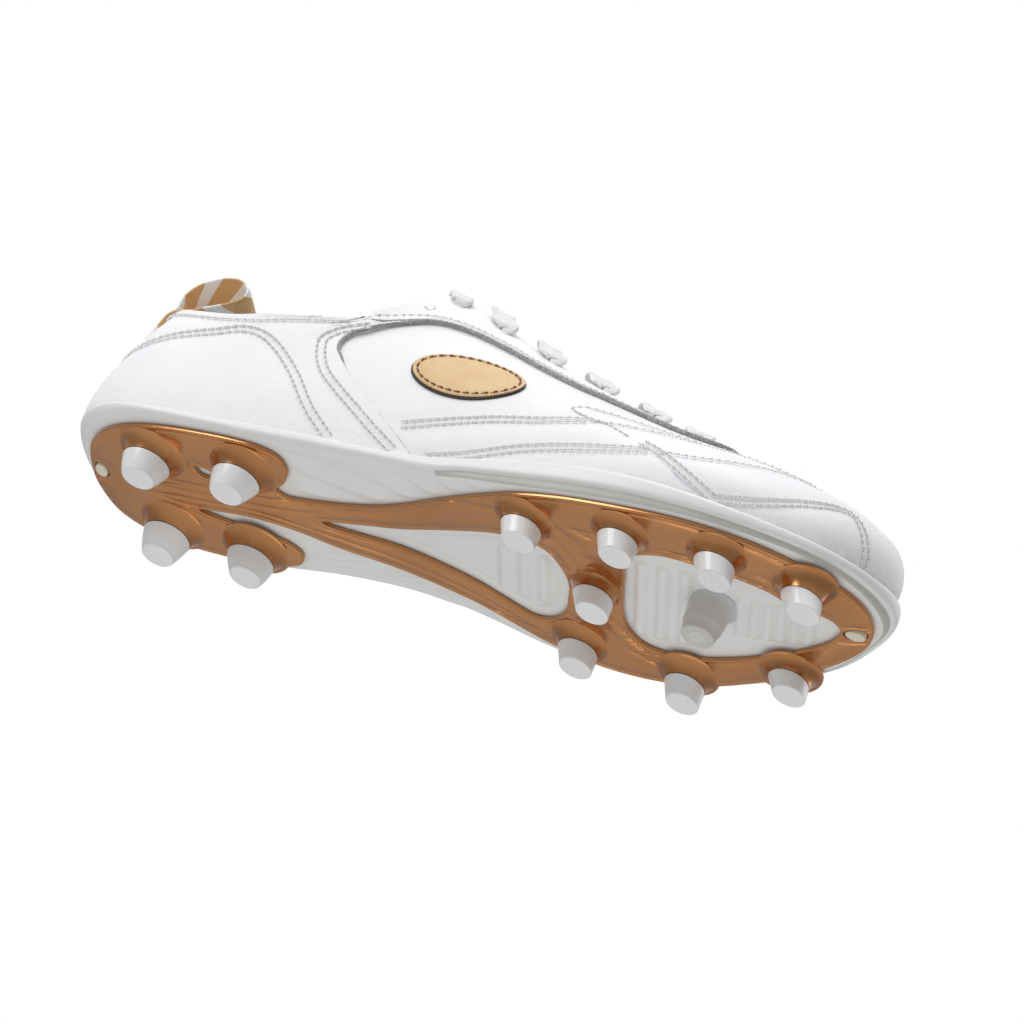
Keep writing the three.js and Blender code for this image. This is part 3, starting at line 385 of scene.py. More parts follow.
# ------------------------------------------------------------------ materials
class Finish:
    """Builds one procedural Principled material."""

    def __init__(self, name, rough, metallic=0.0, **sockets):
        self.mat = bpy.data.materials.new(name)
        self.mat.use_nodes = True
        self.tree = self.mat.node_tree
        self.bsdf = self.tree.nodes["Principled BSDF"]
        self.bsdf.inputs["Roughness"].default_value = rough
        self.bsdf.inputs["Metallic"].default_value = metallic
        for key, value in sockets.items():
            self.bsdf.inputs[key.replace("_", " ")].default_value = value
        self.coord = self.tree.nodes.new("ShaderNodeTexCoord")
        self.height = None

    def link(self, a, b):
        self.tree.links.new(a, b)

    def node(self, kind, **values):
        node = self.tree.nodes.new(kind)
        for key, value in values.items():
            if key in node.inputs:
                node.inputs[key].default_value = value
            else:
                setattr(node, key, value)
        return node

    def noise(self, scale, detail=3.0, stretch=(1, 1, 1), rough=0.55):
        mapping = self.node("ShaderNodeMapping")
        mapping.inputs["Scale"].default_value = stretch
        self.link(self.coord.outputs["Object"], mapping.inputs["Vector"])
        tex = self.node("ShaderNodeTexNoise", Scale=scale, Detail=detail, Roughness=rough)
        self.link(mapping.outputs[0], tex.inputs["Vector"])
        return tex.outputs["Fac"]

    def cells(self, scale, feature="F1"):
        tex = self.node("ShaderNodeTexVoronoi", Scale=scale)
        tex.feature = feature
        self.link(self.coord.outputs["Object"], tex.inputs["Vector"])
        return tex.outputs["Distance"]

    def waves(self, scale, axis, distort=0.0, source="Object"):
        tex = self.node("ShaderNodeTexWave", Scale=scale, Distortion=distort)
        tex.bands_direction = axis
        self.link(self.coord.outputs[source], tex.inputs["Vector"])
        return tex.outputs["Fac"]

    def maths(self, kind, a, b):
        node = self.node("ShaderNodeMath")
        node.operation = kind
        for k, v in enumerate((a, b)):
            if isinstance(v, (int, float)):
                node.inputs[k].default_value = v
            else:
                self.link(v, node.inputs[k])
        return node.outputs[0]

    def ramp(self, value, stops):
        node = self.node("ShaderNodeValToRGB")
        for e in list(node.color_ramp.elements)[1:]:
            node.color_ramp.elements.remove(e)
        for k, (position, colour) in enumerate(stops):
            e = node.color_ramp.elements[0] if k == 0 else node.color_ramp.elements.new(position)
            e.position = position
            e.color = (*colour, 1)
        self.link(value, node.inputs[0])
        return node.outputs["Color"]

    def colour(self, value, stops):
        self.link(self.ramp(value, stops), self.bsdf.inputs["Base Color"])
        return self

    def roughness(self, value, low, high):
        self.link(self.maths("MULTIPLY_ADD", value, high - low), self.bsdf.inputs["Roughness"])
        self.bsdf.inputs["Roughness"].links[0].from_node.inputs[2].default_value = low
        return self

    def bump(self, value, depth, strength=1.0):
        """Adds a bump layer; depth is in millimetres."""
        node = self.node("ShaderNodeBump", Strength=strength, Distance=depth * 0.001)
        self.link(value, node.inputs["Height"])
        if self.height is not None:
            self.link(self.height, node.inputs["Normal"])
        self.height = node.outputs["Normal"]
        self.link(self.height, self.bsdf.inputs["Normal"])
        return self


def leather(name, dark, light, grain=1.0, **sockets):
    f = Finish(name, 0.5, **sockets)
    f.colour(f.noise(28, 4), ((0.3, dark), (0.7, light)))
    f.roughness(f.noise(60, 3), 0.4, 0.56)
    f.bump(f.cells(1150, "SMOOTH_F1"), 0.16 * grain, 0.55)
    f.bump(f.noise(420, 4), 0.16 * grain, 0.5)
    f.bump(f.noise(90, 3), 0.45 * grain, 0.35)
    return f.mat


def moulded(name, dark, light, low, high, **sockets):
    f = Finish(name, low, **sockets)
    f.colour(f.noise(35, 3), ((0.3, dark), (0.7, light)))
    f.roughness(f.noise(220, 3), low, high)
    f.bump(f.noise(1500, 2), 0.03, 0.5)
    f.bump(f.noise(70, 2), 0.12, 0.3)
    return f.mat


def gold_plastic():
    f = Finish("gold_tpu", 0.22, 0.88, Coat_Weight=0.4, Coat_Roughness=0.08)
    f.colour(f.noise(45, 4), ((0.25, (0.46, 0.195, 0.064)), (0.75, (0.56, 0.255, 0.092))))
    f.roughness(f.noise(160, 4), 0.16, 0.28)
    f.bump(f.cells(2600), 0.02, 0.6)
    f.bump(f.noise(60, 2), 0.1, 0.25)
    return f.mat


def gold_hide():
    f = Finish("gold_leather", 0.5, 0.0, Sheen_Weight=0.1)
    f.colour(f.noise(120, 5), ((0.25, (0.70, 0.44, 0.20)), (0.75, (0.80, 0.56, 0.29))))
    f.roughness(f.noise(300, 3), 0.42, 0.58)
    f.bump(f.cells(1400, "SMOOTH_F1"), 0.1, 0.5)
    f.bump(f.noise(600, 4), 0.08, 0.5)
    return f.mat


def fuzzy(name, dark, light):
    f = Finish(name, 0.95, Sheen_Weight=0.3)
    f.colour(f.noise(1400, 5), ((0.3, dark), (0.7, light)))
    f.bump(f.noise(2200, 5), 0.5, 0.9)
    return f.mat


def thread(name, dark, light):
    f = Finish(name, 0.75, Sheen_Weight=0.2)
    f.colour(f.noise(900, 3), ((0.3, dark), (0.7, light)))
    f.bump(f.noise(3600, 3, (1, 1, 2.5)), 0.1, 0.8)
    return f.mat


def cloth(name, dark, light, pitch=0.55):
    """Plain woven or knitted cloth; pitch is the yarn spacing in millimetres."""
    f = Finish(name, 0.9, Sheen_Weight=0.35, Sheen_Roughness=0.5)
    f.colour(f.noise(500, 4), ((0.3, dark), (0.7, light)))
    scale = 1000 / pitch / 20
    knit = f.maths("MULTIPLY", f.waves(scale, "X", 0.6), f.waves(scale, "Z", 0.6))
    f.bump(f.maths("ADD", knit, f.waves(scale, "Y", 0.6)), 0.2, 0.7)
    f.bump(f.noise(150, 3), 0.3, 0.3)
    return f.mat


def woven_tape(name, stripes=None, base=((0.80, 0.80, 0.80), (0.93, 0.93, 0.93)), rib=16):
    """Flat tape; UV runs x along it and y across it, both in tape widths."""
    f = Finish(name, 0.8, Sheen_Weight=0.35, Sheen_Roughness=0.45)
    split = f.node("ShaderNodeSeparateXYZ")
    f.link(f.coord.outputs["UV"], split.inputs[0])
    x, y = split.outputs["X"], split.outputs["Y"]
    if stripes:
        slant = f.maths("ADD", f.maths("MULTIPLY", x, stripes[0]), f.maths("MULTIPLY", y, stripes[1]))
        band = f.maths("FRACT", slant, 0)
        f.colour(band, ((0.0, (0.93, 0.93, 0.93)), (0.40, (0.93, 0.93, 0.93)),
                        (0.43, (0.68, 0.41, 0.17)), (0.97, (0.72, 0.45, 0.20))))
    else:
        f.colour(f.noise(700, 4), ((0.3, base[0]), (0.7, base[1])))
    fold = f.maths("ABSOLUTE", f.maths("SUBTRACT", y, 0.5), 0)
    phase = f.maths("ADD", f.maths("MULTIPLY", x, rib * 3.14), f.maths("MULTIPLY", fold, 22))
    chevron = f.maths("SINE", phase, 0)
    rows = f.maths("SINE", f.maths("MULTIPLY", y, 75), 0)
    f.bump(chevron, 0.07, 0.5)
    f.bump(rows, 0.05, 0.45)
    f.bump(f.noise(2500, 3), 0.03, 0.4)
    return f.mat


WHITE = leather("white_leather", (0.86, 0.865, 0.885), (0.915, 0.92, 0.935))
WHITE_SOFT = leather("tongue_leather", (0.85, 0.855, 0.87), (0.9, 0.905, 0.92), 1.4)
SOLE_WHITE = moulded("sole_white", (0.79, 0.79, 0.775), (0.84, 0.84, 0.825), 0.3, 0.42)
# Grey for the stepped groove of the sole's sidewall: partly the moulding's own grey, partly painted shade of the
# groove.
SOLE_GREY_AND_SHADE = moulded("sole_groove_grey_and_shade", (0.50, 0.495, 0.465), (0.58, 0.575, 0.545), 0.45, 0.6)
STUD_WHITE = moulded("stud_white", (0.84, 0.845, 0.84), (0.90, 0.905, 0.90), 0.2, 0.34, Coat_Weight=0.2)
STUD_FROST = moulded("stud_frosted", (0.60, 0.585, 0.56), (0.70, 0.69, 0.67), 0.32, 0.45,
                     Transmission_Weight=0.1, Subsurface_Weight=0.1)
GOLD = gold_plastic()
GOLD_HIDE = gold_hide()
# Dark rim of the side patch: its dark cut edge, also serving as painted shadow on its low side.
DARK_EDGE_AND_SHADOW = fuzzy("dark_cut_edge_and_shadow", (0.02, 0.012, 0.008), (0.055, 0.033, 0.024))
RAW_EDGE = fuzzy("raw_grey_edge", (0.22, 0.21, 0.19), (0.60, 0.585, 0.55))
# Near-black material for the disc in the unlaced eyelet: painted shade inside the hole.
EYELET_PAINTED_SHADE = fuzzy("eyelet_painted_shade", (0.03, 0.03, 0.03), (0.09, 0.088, 0.085))
# Grey of the needle holes: painted shade of each hole in the leather.
NEEDLE_HOLE_SHADE = fuzzy("needle_hole_painted_shade", (0.50, 0.50, 0.49), (0.62, 0.62, 0.61))
THREAD_WHITE = thread("white_thread", (0.76, 0.765, 0.765), (0.88, 0.885, 0.885))
THREAD_BROWN = thread("brown_thread", (0.11, 0.045, 0.015), (0.24, 0.10, 0.035))
LINING = cloth("lining_cloth", (0.74, 0.74, 0.73), (0.86, 0.86, 0.85))
SOCK = cloth("sock_cloth", (0.66, 0.66, 0.66), (0.80, 0.80, 0.80), 0.8)
LACE_CLOTH = woven_tape("lace_weave")
WEBBING = woven_tape("webbing", (1.1, 0.8))
PEG = moulded("peg_cream", (0.72, 0.66, 0.52), (0.80, 0.74, 0.60), 0.4, 0.55)
BOARD = fuzzy("fibre_board", (0.48, 0.37, 0.24), (0.58, 0.46, 0.31))
STIFFENER = moulded("stiffener", (0.66, 0.62, 0.53), (0.74, 0.70, 0.61), 0.55, 0.7)
FILM = moulded("aglet_film", (0.80, 0.80, 0.80), (0.88, 0.88, 0.88), 0.12, 0.2, Coat_Weight=0.5)


# ------------------------------------------------------------------ mesh making
def make(name, verts, faces, mats, kinds=None, uvs=None, body="boot", node=None,
         weld=0.0, sharp=38):
    """One piece: mesh in the part's frame, facing out, smooth-shaded, riding on its body."""
    mesh = bpy.data.meshes.new(name)
    mesh.from_pydata(((np.asarray(verts) + SHIFT) * 0.001).tolist(), [], faces)
    for mat in mats:
        mesh.materials.append(mat)
    if kinds is not None:
        mesh.polygons.foreach_set("material_index", np.asarray(kinds, np.int32))
    if uvs is not None:
        layer = mesh.uv_layers.new(name="UVMap")
        loops = np.zeros(len(mesh.loops), np.int32)
        mesh.loops.foreach_get("vertex_index", loops)
        layer.data.foreach_set("uv", np.asarray(uvs, np.float32)[loops].ravel())
    bm = bmesh.new()
    bm.from_mesh(mesh)
    if weld:
        bmesh.ops.remove_doubles(bm, verts=bm.verts, dist=weld * 0.001)
        bmesh.ops.dissolve_degenerate(bm, dist=1e-8, edges=bm.edges)
    if bm.calc_volume(signed=True) < 0:
        bmesh.ops.reverse_faces(bm, faces=bm.faces)
    bm.to_mesh(mesh)
    bm.free()
    mesh.shade_smooth()
    mesh.set_sharp_from_angle(angle=math.radians(sharp))
    piece = bpy.data.objects.new(name, mesh)
    bpy.context.scene.collection.objects.link(piece)
    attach(piece, body)
    if node:
        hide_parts(*((node,) if isinstance(node, str) else node))
    return piece


def grid_faces(n, m, start=0, flip=False, wrap=False):
    i, j = np.meshgrid(np.arange(n - 1), np.arange(m if wrap else m - 1), indexing="ij")
    i, j = i.ravel(), j.ravel()
    k = (j + 1) % m
    quad = np.stack([i * m + j, (i + 1) * m + j, (i + 1) * m + k, i * m + k], 1) + start
    return (quad[:, ::-1] if flip else quad).tolist()


def closed_sheet(outer, inner, rim=3, open_edges=(), raw_edges=(), bulge=0.12, fuzz=0.0, seed=1):
    """Closed shell between two grids. Rim strips get rim rows; raw ones take material 1."""
    n, m = outer.shape[:2]
    verts = [outer.reshape(-1, 3), inner.reshape(-1, 3)]
    faces = grid_faces(n, m) + grid_faces(n, m, n * m, flip=True)
    kinds = [0] * len(faces)
    count = 2 * n * m
    index = np.arange(n * m).reshape(n, m)
    borders = {
        "start": index[0, :][::-1], "end": index[-1, :], "low": index[:, 0], "high": index[:, -1][::-1],
    }
    rng = np.random.default_rng(seed)
    for edge, ids in borders.items():
        if edge in open_edges:
            continue
        top, bottom = verts[0][ids], verts[1][ids]
        out = unit(np.cross(np.gradient(top, axis=0), top - bottom))
        raw = edge in raw_edges
        rows = [ids]
        for k in range(1, rim):
            f = k / rim
            push = bulge * math.sin(math.pi * f) + (rng.normal(0, fuzz, (len(ids), 1)) if raw else 0)
            verts.append(top * (1 - f) + bottom * f - out * push)
            rows.append(np.arange(count, count + len(ids)))
            count += len(ids)
        rows.append(ids + n * m)
        for a, b in zip(rows[:-1], rows[1:]):
            strip = np.stack([a[:-1], b[:-1], b[1:], a[1:]], 1)
            faces += strip.tolist()
            kinds += [1 if raw else 0] * len(strip)
    return np.vstack(verts), faces, kinds


def edge_distance(p, edges):
    """Distance of each grid point to the named grid edges, along rows and columns."""
    def run(q, axis):
        step = np.linalg.norm(np.diff(q, axis=axis), axis=-1)
        zero = np.zeros_like(np.take(step, [0], axis=axis))
        return np.concatenate([zero, np.cumsum(step, axis=axis)], axis=axis)
    rows, cols = run(p, 0), run(p, 1)
    all_d = {
        "start": rows, "end": rows[-1:] - rows, "low": cols, "high": cols[:, -1:] - cols,
    }
    return np.minimum.reduce([all_d[e] for e in edges]) if edges else np.full(p.shape[:2], 1e3)


def polyline_distance(p, lines):
    """Distance of each point to the nearest of the dense points of the lines."""
    flat = p.reshape(-1, 3)
    best = np.full(len(flat), 1e3)
    for line in lines:
        for lo in range(0, len(flat), 4000):
            part = flat[lo:lo + 4000]
            near = np.sqrt(((part[:, None] - line[None]) ** 2).sum(-1).min(1))
            best[lo:lo + 4000] = np.minimum(best[lo:lo + 4000], near)
    return best.reshape(p.shape[:-1])


def rolled(distance, radius):
    """How far a rolled edge drops at a distance from it."""
    f = np.clip(distance / radius, 0, 1)
    return radius * (1 - np.sqrt(1 - (1 - f) ** 2))


# ------------------------------------------------------------------ stitching
def stitch_rows(line, normals, rows):
    """Parallel copies of a surface line, to the left (+) and right (-) of it."""
    tangent = unit(np.gradient(line, axis=0))
    side = unit(np.cross(normals, tangent))
    return [(line + side * r, normals) for r in rows]


def sew(name, rows, threads, pitch=2.6, length=1.55, radius=0.44, body="boot"):
    """Threads and needle holes of one colour, as one piece; the holes take the second material, which for the
    white stitching is a grey painted shade.
    """
    sides, rings = 6, 7
    verts, faces, kinds = [], [], []
    base = 0
    u = np.linspace(0, 1, rings)
    arch = 0.34 * np.sin(np.pi * u) ** 0.7 - 0.16
    girth = radius * np.maximum(np.sin(np.pi * (0.06 + 0.88 * u)) ** 0.4, 0.25)
    ring_faces = grid_faces(rings, sides, wrap=True) + [
        list(range(sides))[::-1], [(rings - 1) * sides + k for k in range(sides)]]
    hole_faces = [[k, (k + 1) % 6, 6] for k in range(6)] + [[(k + 1) % 6, k, 7] for k in range(6)]
    for line, normals in rows:
        s = np.concatenate([[0], np.cumsum(np.linalg.norm(np.diff(line, axis=0), axis=1))])
        at = np.arange(0.8, s[-1] - length, pitch)

        def look(values, where):
            return np.stack([np.interp(where, s, values[:, k]) for k in range(3)], -1)
        for start in at:
            where = start + u * length
            p, n = look(line, where), unit(look(normals, where))
            tangent = unit(np.gradient(p, axis=0))
            side = unit(np.cross(n, tangent))
            a = np.arange(sides) * 2 * np.pi / sides
            centre = p + n * arch[:, None]
            ring = centre[:, None] + girth[:, None, None] * (
                side[:, None] * np.cos(a)[None, :, None] + n[:, None] * 0.75 * np.sin(a)[None, :, None])
            verts.append(ring.reshape(-1, 3))
            faces += [[v + base for v in f] for f in ring_faces]
            kinds += [0] * len(ring_faces)
            base += rings * sides
            # Needle hole: a small cone at the stitch's start whose grey material is painted shade of the hole.
            hole = p[0] - tangent[0] * 0.42
            rim = hole + 0.36 * (side[0] * np.cos(a)[:, None] + tangent[0] * np.sin(a)[:, None]) 
            verts.append(np.vstack([rim, hole + n[0] * 0.09, hole - n[0] * 0.4]))
            faces += [[v + base for v in f] for f in hole_faces]
            kinds += [1] * len(hole_faces)
            base += 8
    return make(name, np.vstack(verts), faces, threads, kinds, body=body, sharp=70)


def surface_line(side, points, off, step=1.0, smooth=True):
    """Dense line and normals on the upper through (station, height) points."""
    wt = catmull(points, 14) if smooth else np.array(points, float)
    q, t = on_side(side, wt[:, 0]), wt[:, 1]
    p = skin(q, t, off)
    s = np.concatenate([[0], np.cumsum(np.linalg.norm(np.diff(p, axis=0), axis=1))])
    at = np.linspace(0, s[-1], max(3, int(s[-1] / step) + 1))
    qi, ti = np.interp(at, s, q), np.interp(at, s, t)
    return skin(qi, ti, off), rib_normal(qi, ti)


QUARTER_SEAM = ((5.05, 0.565), (4.62, 0.535), (4.5, 0.49), (4.58, 0.44), (4.85, 0.33), (5.3, 0.215),
                (5.95, 0.09), (6.42, 0.015))
HEEL_SEAM = ((0.0, 0.33), (0.8, 0.335), (1.55, 0.35), (2.2, 0.39), (2.75, 0.43), (3.2, 0.475),
             (3.6, 0.465), (4.05, 0.40), (4.55, 0.28), (5.05, 0.12), (5.5, 0.015))
BELT_SEAM = ((6.35, 0.115), (6.95, 0.15), (7.45, 0.17), (8.3, 0.2), (8.95, 0.265), (9.5, 0.33), (10.3, 0.44),
             (10.9, 0.52), (11.6, 0.62), (12.3, 0.75))
LOOP_SEAM = ((9.55, 0.235), (9.15, 0.28), (8.85, 0.29), (8.62, 0.32), (8.75, 0.36), (9.05, 0.385),
             (9.6, 0.42), (10.4, 0.475))
LOW_SEAM = ((6.85, 0.012), (7.5, 0.03), (8.4, 0.07), (9.0, 0.1), (9.55, 0.14), (10.0, 0.19), (10.55, 0.25),
            (11.15, 0.37), (11.6, 0.5), (12.1, 0.64))
VAMP_CROSS = ((9.75, 0.225), (10.05, 0.19), (10.35, 0.14), (10.8, 0.07), (11.05, 0.035))
TOE_SEAM = ((11.05, 0.035), (11.5, 0.09), (11.9, 0.165), (12.4, 0.30), (12.8, 0.42), (13.1, 0.45),
            (13.35, 0.36),
            (13.55, 0.24), (13.7, 0.12), (13.75, 0.02))
FACING_SEAM = ((4.95, 0.628), (5.5, 0.617), (6.2, 0.622), (7.2, 0.632), (7.9, 0.603), (8.5, 0.575),
               (9.4, 0.582),
               (10.15, 0.618), (10.5, 0.70), (10.8, 0.90))
COLLAR_SEAM = tuple((w, float(collar_edge(w)) - 0.035) for w in np.linspace(0, 4.7, 14))


def seam_sets(side):
    """Every stitched line of one side: (name, line, normals, row offsets) by the layer it is on."""
    def on(points, off, rows, smooth=True):
        line, normals = surface_line(side, points, off, smooth=smooth)
        return line, normals, rows
    l1, l2 = LAYER1[1], LAYER2[1]
    return {
        "mid": [on(BELT_SEAM[:5], l1, (-1.3, 1.3)), on(LOW_SEAM[:6], l1, (-1.3, 1.3))],
        "vamp": [on(BELT_SEAM[4:], l1, (0.0,)), on(LOOP_SEAM, l1, (0.0,)), on(LOW_SEAM[5:], l1, (0.0,)),
                 on(VAMP_CROSS, l1, (-1.3, 1.3)), on(TOE_SEAM, l1, (-1.3, 1.3))],
        "heel": [on(QUARTER_SEAM, l2, (-1.35, 1.35)), on(HEEL_SEAM, l2, (-1.35, 1.35)),
                 on(COLLAR_SEAM, l2, (0.0,))],
        "facing": [on(FACING_SEAM, l2, (0.0,))],
    }


def grooved(p, normals, lines, depth=0.2, width=1.0, puff=0.42, reach=5.0):
    """Surface with a pulled-in groove along each stitch line and a soft valley around it."""
    if not lines:
        return p
    d = polyline_distance(p, lines)
    drop = depth * np.exp(-((d / width) ** 2)) + puff * np.exp(-((d / reach) ** 2))
    return p - normals * drop[..., None]


def wrinkles(q, t, strength, seed):
    """Fine creases that run up from the sole, gathered where the leather is pulled under."""
    rng = np.random.default_rng(seed)
    h = np.zeros_like(q)
    for _ in range(26):
        freq, phase, slope = rng.uniform(55, 190), rng.uniform(0, 6.3), rng.uniform(-6, 6)
        h += rng.uniform(0.3, 1.0) * np.sin(q * freq / 3.2 + t * slope * 4 + phase)
    return strength * (np.abs(h) ** 0.8) * -0.12


def panel(name, side, w, t, layer, node, seams=(), relief=None, raw=(), fold=("low", "high", "start", "end"),
          roll=0.8, back=None, raw_step=0.0, mats=None, fuzz=0.05):
    """Leather panel between two offsets of the upper, given as grids of station and height."""
    q = on_side(side, w)
    inner, outer = layer
    top = skin(q, t, outer)
    normals = rib_normal(q, t)
    drop = rolled(edge_distance(top, [e for e in fold if e not in raw]), roll)
    if raw:
        drop = drop + rolled(edge_distance(top, list(raw)), 0.3)
    if relief is not None:
        top = top + normals * relief(q, t, top)[..., None]
    top = grooved(top, normals, [line for line, _, _ in seams])
    top = top - normals * np.minimum(drop, outer - inner - 0.15)[..., None]
    under = skin(q, t, inner if back is None else back(w, t))
    if raw:
        under = raw_foot(top, under, normals, raw, raw_step)
    verts, faces, kinds = closed_sheet(top, under, rim=5 if raw else 3, raw_edges=raw, fuzz=fuzz, bulge=0.15)
    return make(name, verts, faces, mats or [WHITE, RAW_EDGE], kinds, node=node)


def raw_foot(top, under, normals, raw, step):
    """Slopes a raw cut edge outward at its foot, so that its thickness shows."""
    d_all = {e: edge_distance(top, [e]) for e in raw}
    for edge, d in d_all.items():
        axis, sign = {"start": (0, -1), "end": (0, 1), "low": (1, -1), "high": (1, 1)}[edge]
        out = unit(np.gradient(top, axis=axis)) * sign
        near = np.exp(-d / 1.0)[..., None]
        under = under + out * step * near - normals * 0.3 * near
    return under


def soft_relief(amount, seed):
    """Slow, shallow unevenness of hand-lasted leather."""
    rng = np.random.default_rng(seed)
    parts = [(rng.uniform(-1, 1, 3) * 0.09, rng.uniform(0, 6.3)) for _ in range(7)]

    def at(q, t, p):
        return amount * sum(np.sin(p @ k + phase) for k, phase in parts) / 7
    return at


# ------------------------------------------------------------------ upper
HEEL_FRONT = ((0.0, 6.72), (0.1, 6.2), (0.19, 5.75), (0.28, 5.35), (0.38, 5.0), (0.44, 4.82),
              (0.49, 4.77), (0.53, 4.83), (0.555, 5.0), (0.57, 5.25), (0.585, 5.75), (0.6, 6.2))
heel_front = smooth_curve(HEEL_FRONT)
SEAM_W = ((0.0, 11.1), (0.1, 10.35), (0.23, 9.55), (0.36, 8.8), (0.48, 8.7), (0.6, 8.7))
seam_w = smooth_curve(SEAM_W)


def add_heel_quarter(side, word, seams):
    rows = edged(44)
    cols = edged(96)
    s, f = np.meshgrid(rows, cols, indexing="ij")
    low = 0.001
    w = f * heel_front(low + s * 0.58)
    for _ in range(3):
        high = np.where(w < 4.8, collar_edge(w), facing_low(w) - 0.013)
        t = low + s * (high - low)
        w = np.maximum(f * heel_front(t), 0.004)
    piece = panel(
        f"heel_quarter_{word}_leather", side, w.T, t.T, LAYER2, f"heel_quarter_{word}",
        seams["heel"], soft_relief(0.18, 3 + side), raw=("end",), fold=("low", "high", "start"), raw_step=1.3)
    return piece


def add_mid_quarter(side, word, seams):
    f, v = np.meshgrid(edged(120), edged(50), indexing="ij")
    t = -0.08 + v * 0.5
    for _ in range(4):
        w = 4.5 + f * (seam_w(np.clip(t, 0, 0.6)) + 0.03 - 4.5)
        high = np.minimum(facing_low(np.clip(w, 4.82, 10.9)) + 0.03, 0.36 + 1.1 * np.maximum(w - 4.5, 0))
        t = -0.08 + v * (high + 0.08)
    near = seams["mid"] + seams["heel"][:1] + seams["vamp"][3:5]
    panel(f"mid_quarter_{word}_leather", side, w, t, LAYER1, f"mid_quarter_{word}",
          near, soft_relief(0.25, 11 + side), roll=0.2)


def add_seam_allowance(side, word):
    """Strip of leather left under the seam between the vamp and the mid quarter."""
    f, t = np.meshgrid(np.linspace(-1, 1, 9), np.linspace(0.0, 0.58, 60), indexing="ij")
    q = on_side(side, seam_w(t) + 0.22 * f)
    verts, faces, _ = closed_sheet(skin(q, t, LAYER1[1] - 0.95), skin(q, t, LAYER1[0] + 0.08))
    make(f"seam_allowance_{word}", verts, faces, [WHITE])


def add_vamp(all_seams):
    """Forepart from seam to seam round the toe, closed along the ridge and open at the throat."""
    t_rows = np.unique(np.concatenate([
        np.linspace(-0.08, 0, 4), np.linspace(0, 0.22, 26), np.linspace(0.22, 1, 46)]))
    start = np.where(t_rows > 0.6, 8.7 + (10.46 - 8.7) * ramp01(t_rows, 0.6, 0.68),
                     seam_w(np.clip(t_rows, 0, 0.6)))
    f = np.unique(np.concatenate([edged(10)[:6], np.linspace(0, 1, 560), edged(10)[-6:]]))
    span = start[None, :] + f[:, None] * (RING - 2 * start[None, :])
    q = np.where(f[:, None] <= 0.5, span, RING - span[::-1])
    t = np.broadcast_to(t_rows, q.shape)
    base, normals = skin(q, t, LAYER1[1]), rib_normal(q, t)
    ridge = len(t_rows) - 1
    base[:, ridge] = (base[:, ridge] + base[::-1, ridge]) / 2
    normals[:, ridge] = unit(normals[:, ridge] + normals[::-1, ridge])
    toe = ramp01(np.minimum(q, RING - q), 12.2, 13.8)
    crimp = wrinkles(q, t, 1.9, 5) * toe * (1 - ramp01(t, 0.02, 0.17))
    flex = 0.3 * soft_relief(1.0, 21)(q, t, base)
    top = base + normals * (crimp + flex)[..., None]
    top = grooved(top, normals, [line for seams in all_seams for line, _, _ in seams["vamp"]])
    open_rows = edge_distance(top, ["start", "end", "low"])
    top = top - normals * np.minimum(rolled(open_rows, 0.2), 0.45)[..., None]
    top[:, ridge] = (top[:, ridge] + top[::-1, ridge]) / 2
    under = skin(q, t, LAYER1[0])
    under[:, ridge] = (under[:, ridge] + under[::-1, ridge]) / 2
    verts, faces, kinds = closed_sheet(top, under, open_edges=("high",))
    make("vamp_leather", verts, faces, [WHITE, RAW_EDGE], kinds, node="vamp", weld=0.03)


EYELET_W = (10.15, 9.45, 8.65, 7.8, 6.9, 6.05)
EYELET_REACH = 16.5
SPARE_EYELET = (5.7, 0.68)


def facing_high(side):
    ws = np.linspace(5.85, 10.95, 60)
    gap = height_at_reach(on_side(side, ws), 11.0)

    def at(w):
        closing = ramp01(w, 10.28, 10.46)
        edge = np.interp(w, ws, gap) * (1 - closing) + 0.985 * closing
        return np.where(w < 5.85, facing_top(w), edge)
    return at


def eyelet_spots(side):
    ws = np.array(EYELET_W)
    ts = height_at_reach(on_side(side, ws), EYELET_REACH)
    return list(zip(ws, ts, [2.0] * 6)) + [(*SPARE_EYELET, 1.55)]


def cylinder_mesh(spots, side, length=12.0, sides=24):
    verts, faces, base = [], [], 0
    a = np.arange(sides) * 2 * np.pi / sides
    for w, t, r in spots:
        q = on_side(side, w)
        p, n = skin(q, t, 2.0), rib_normal(q, t)
        x = unit(np.cross(n, (0.3, 0.8, 0.2)))
        y = np.cross(n, x)
        ring = r * (x * np.cos(a)[:, None] + y * np.sin(a)[:, None])
        verts += [p + ring + n * length / 2, p + ring - n * length / 2]
        faces += [[base + k, base + (k + 1) % sides, base + sides + (k + 1) % sides, base + sides + k]
                  for k in range(sides)]
        faces += [list(range(base, base + sides))[::-1], list(range(base + sides, base + 2 * sides))]
        base += 2 * sides
    return np.vstack(verts), faces


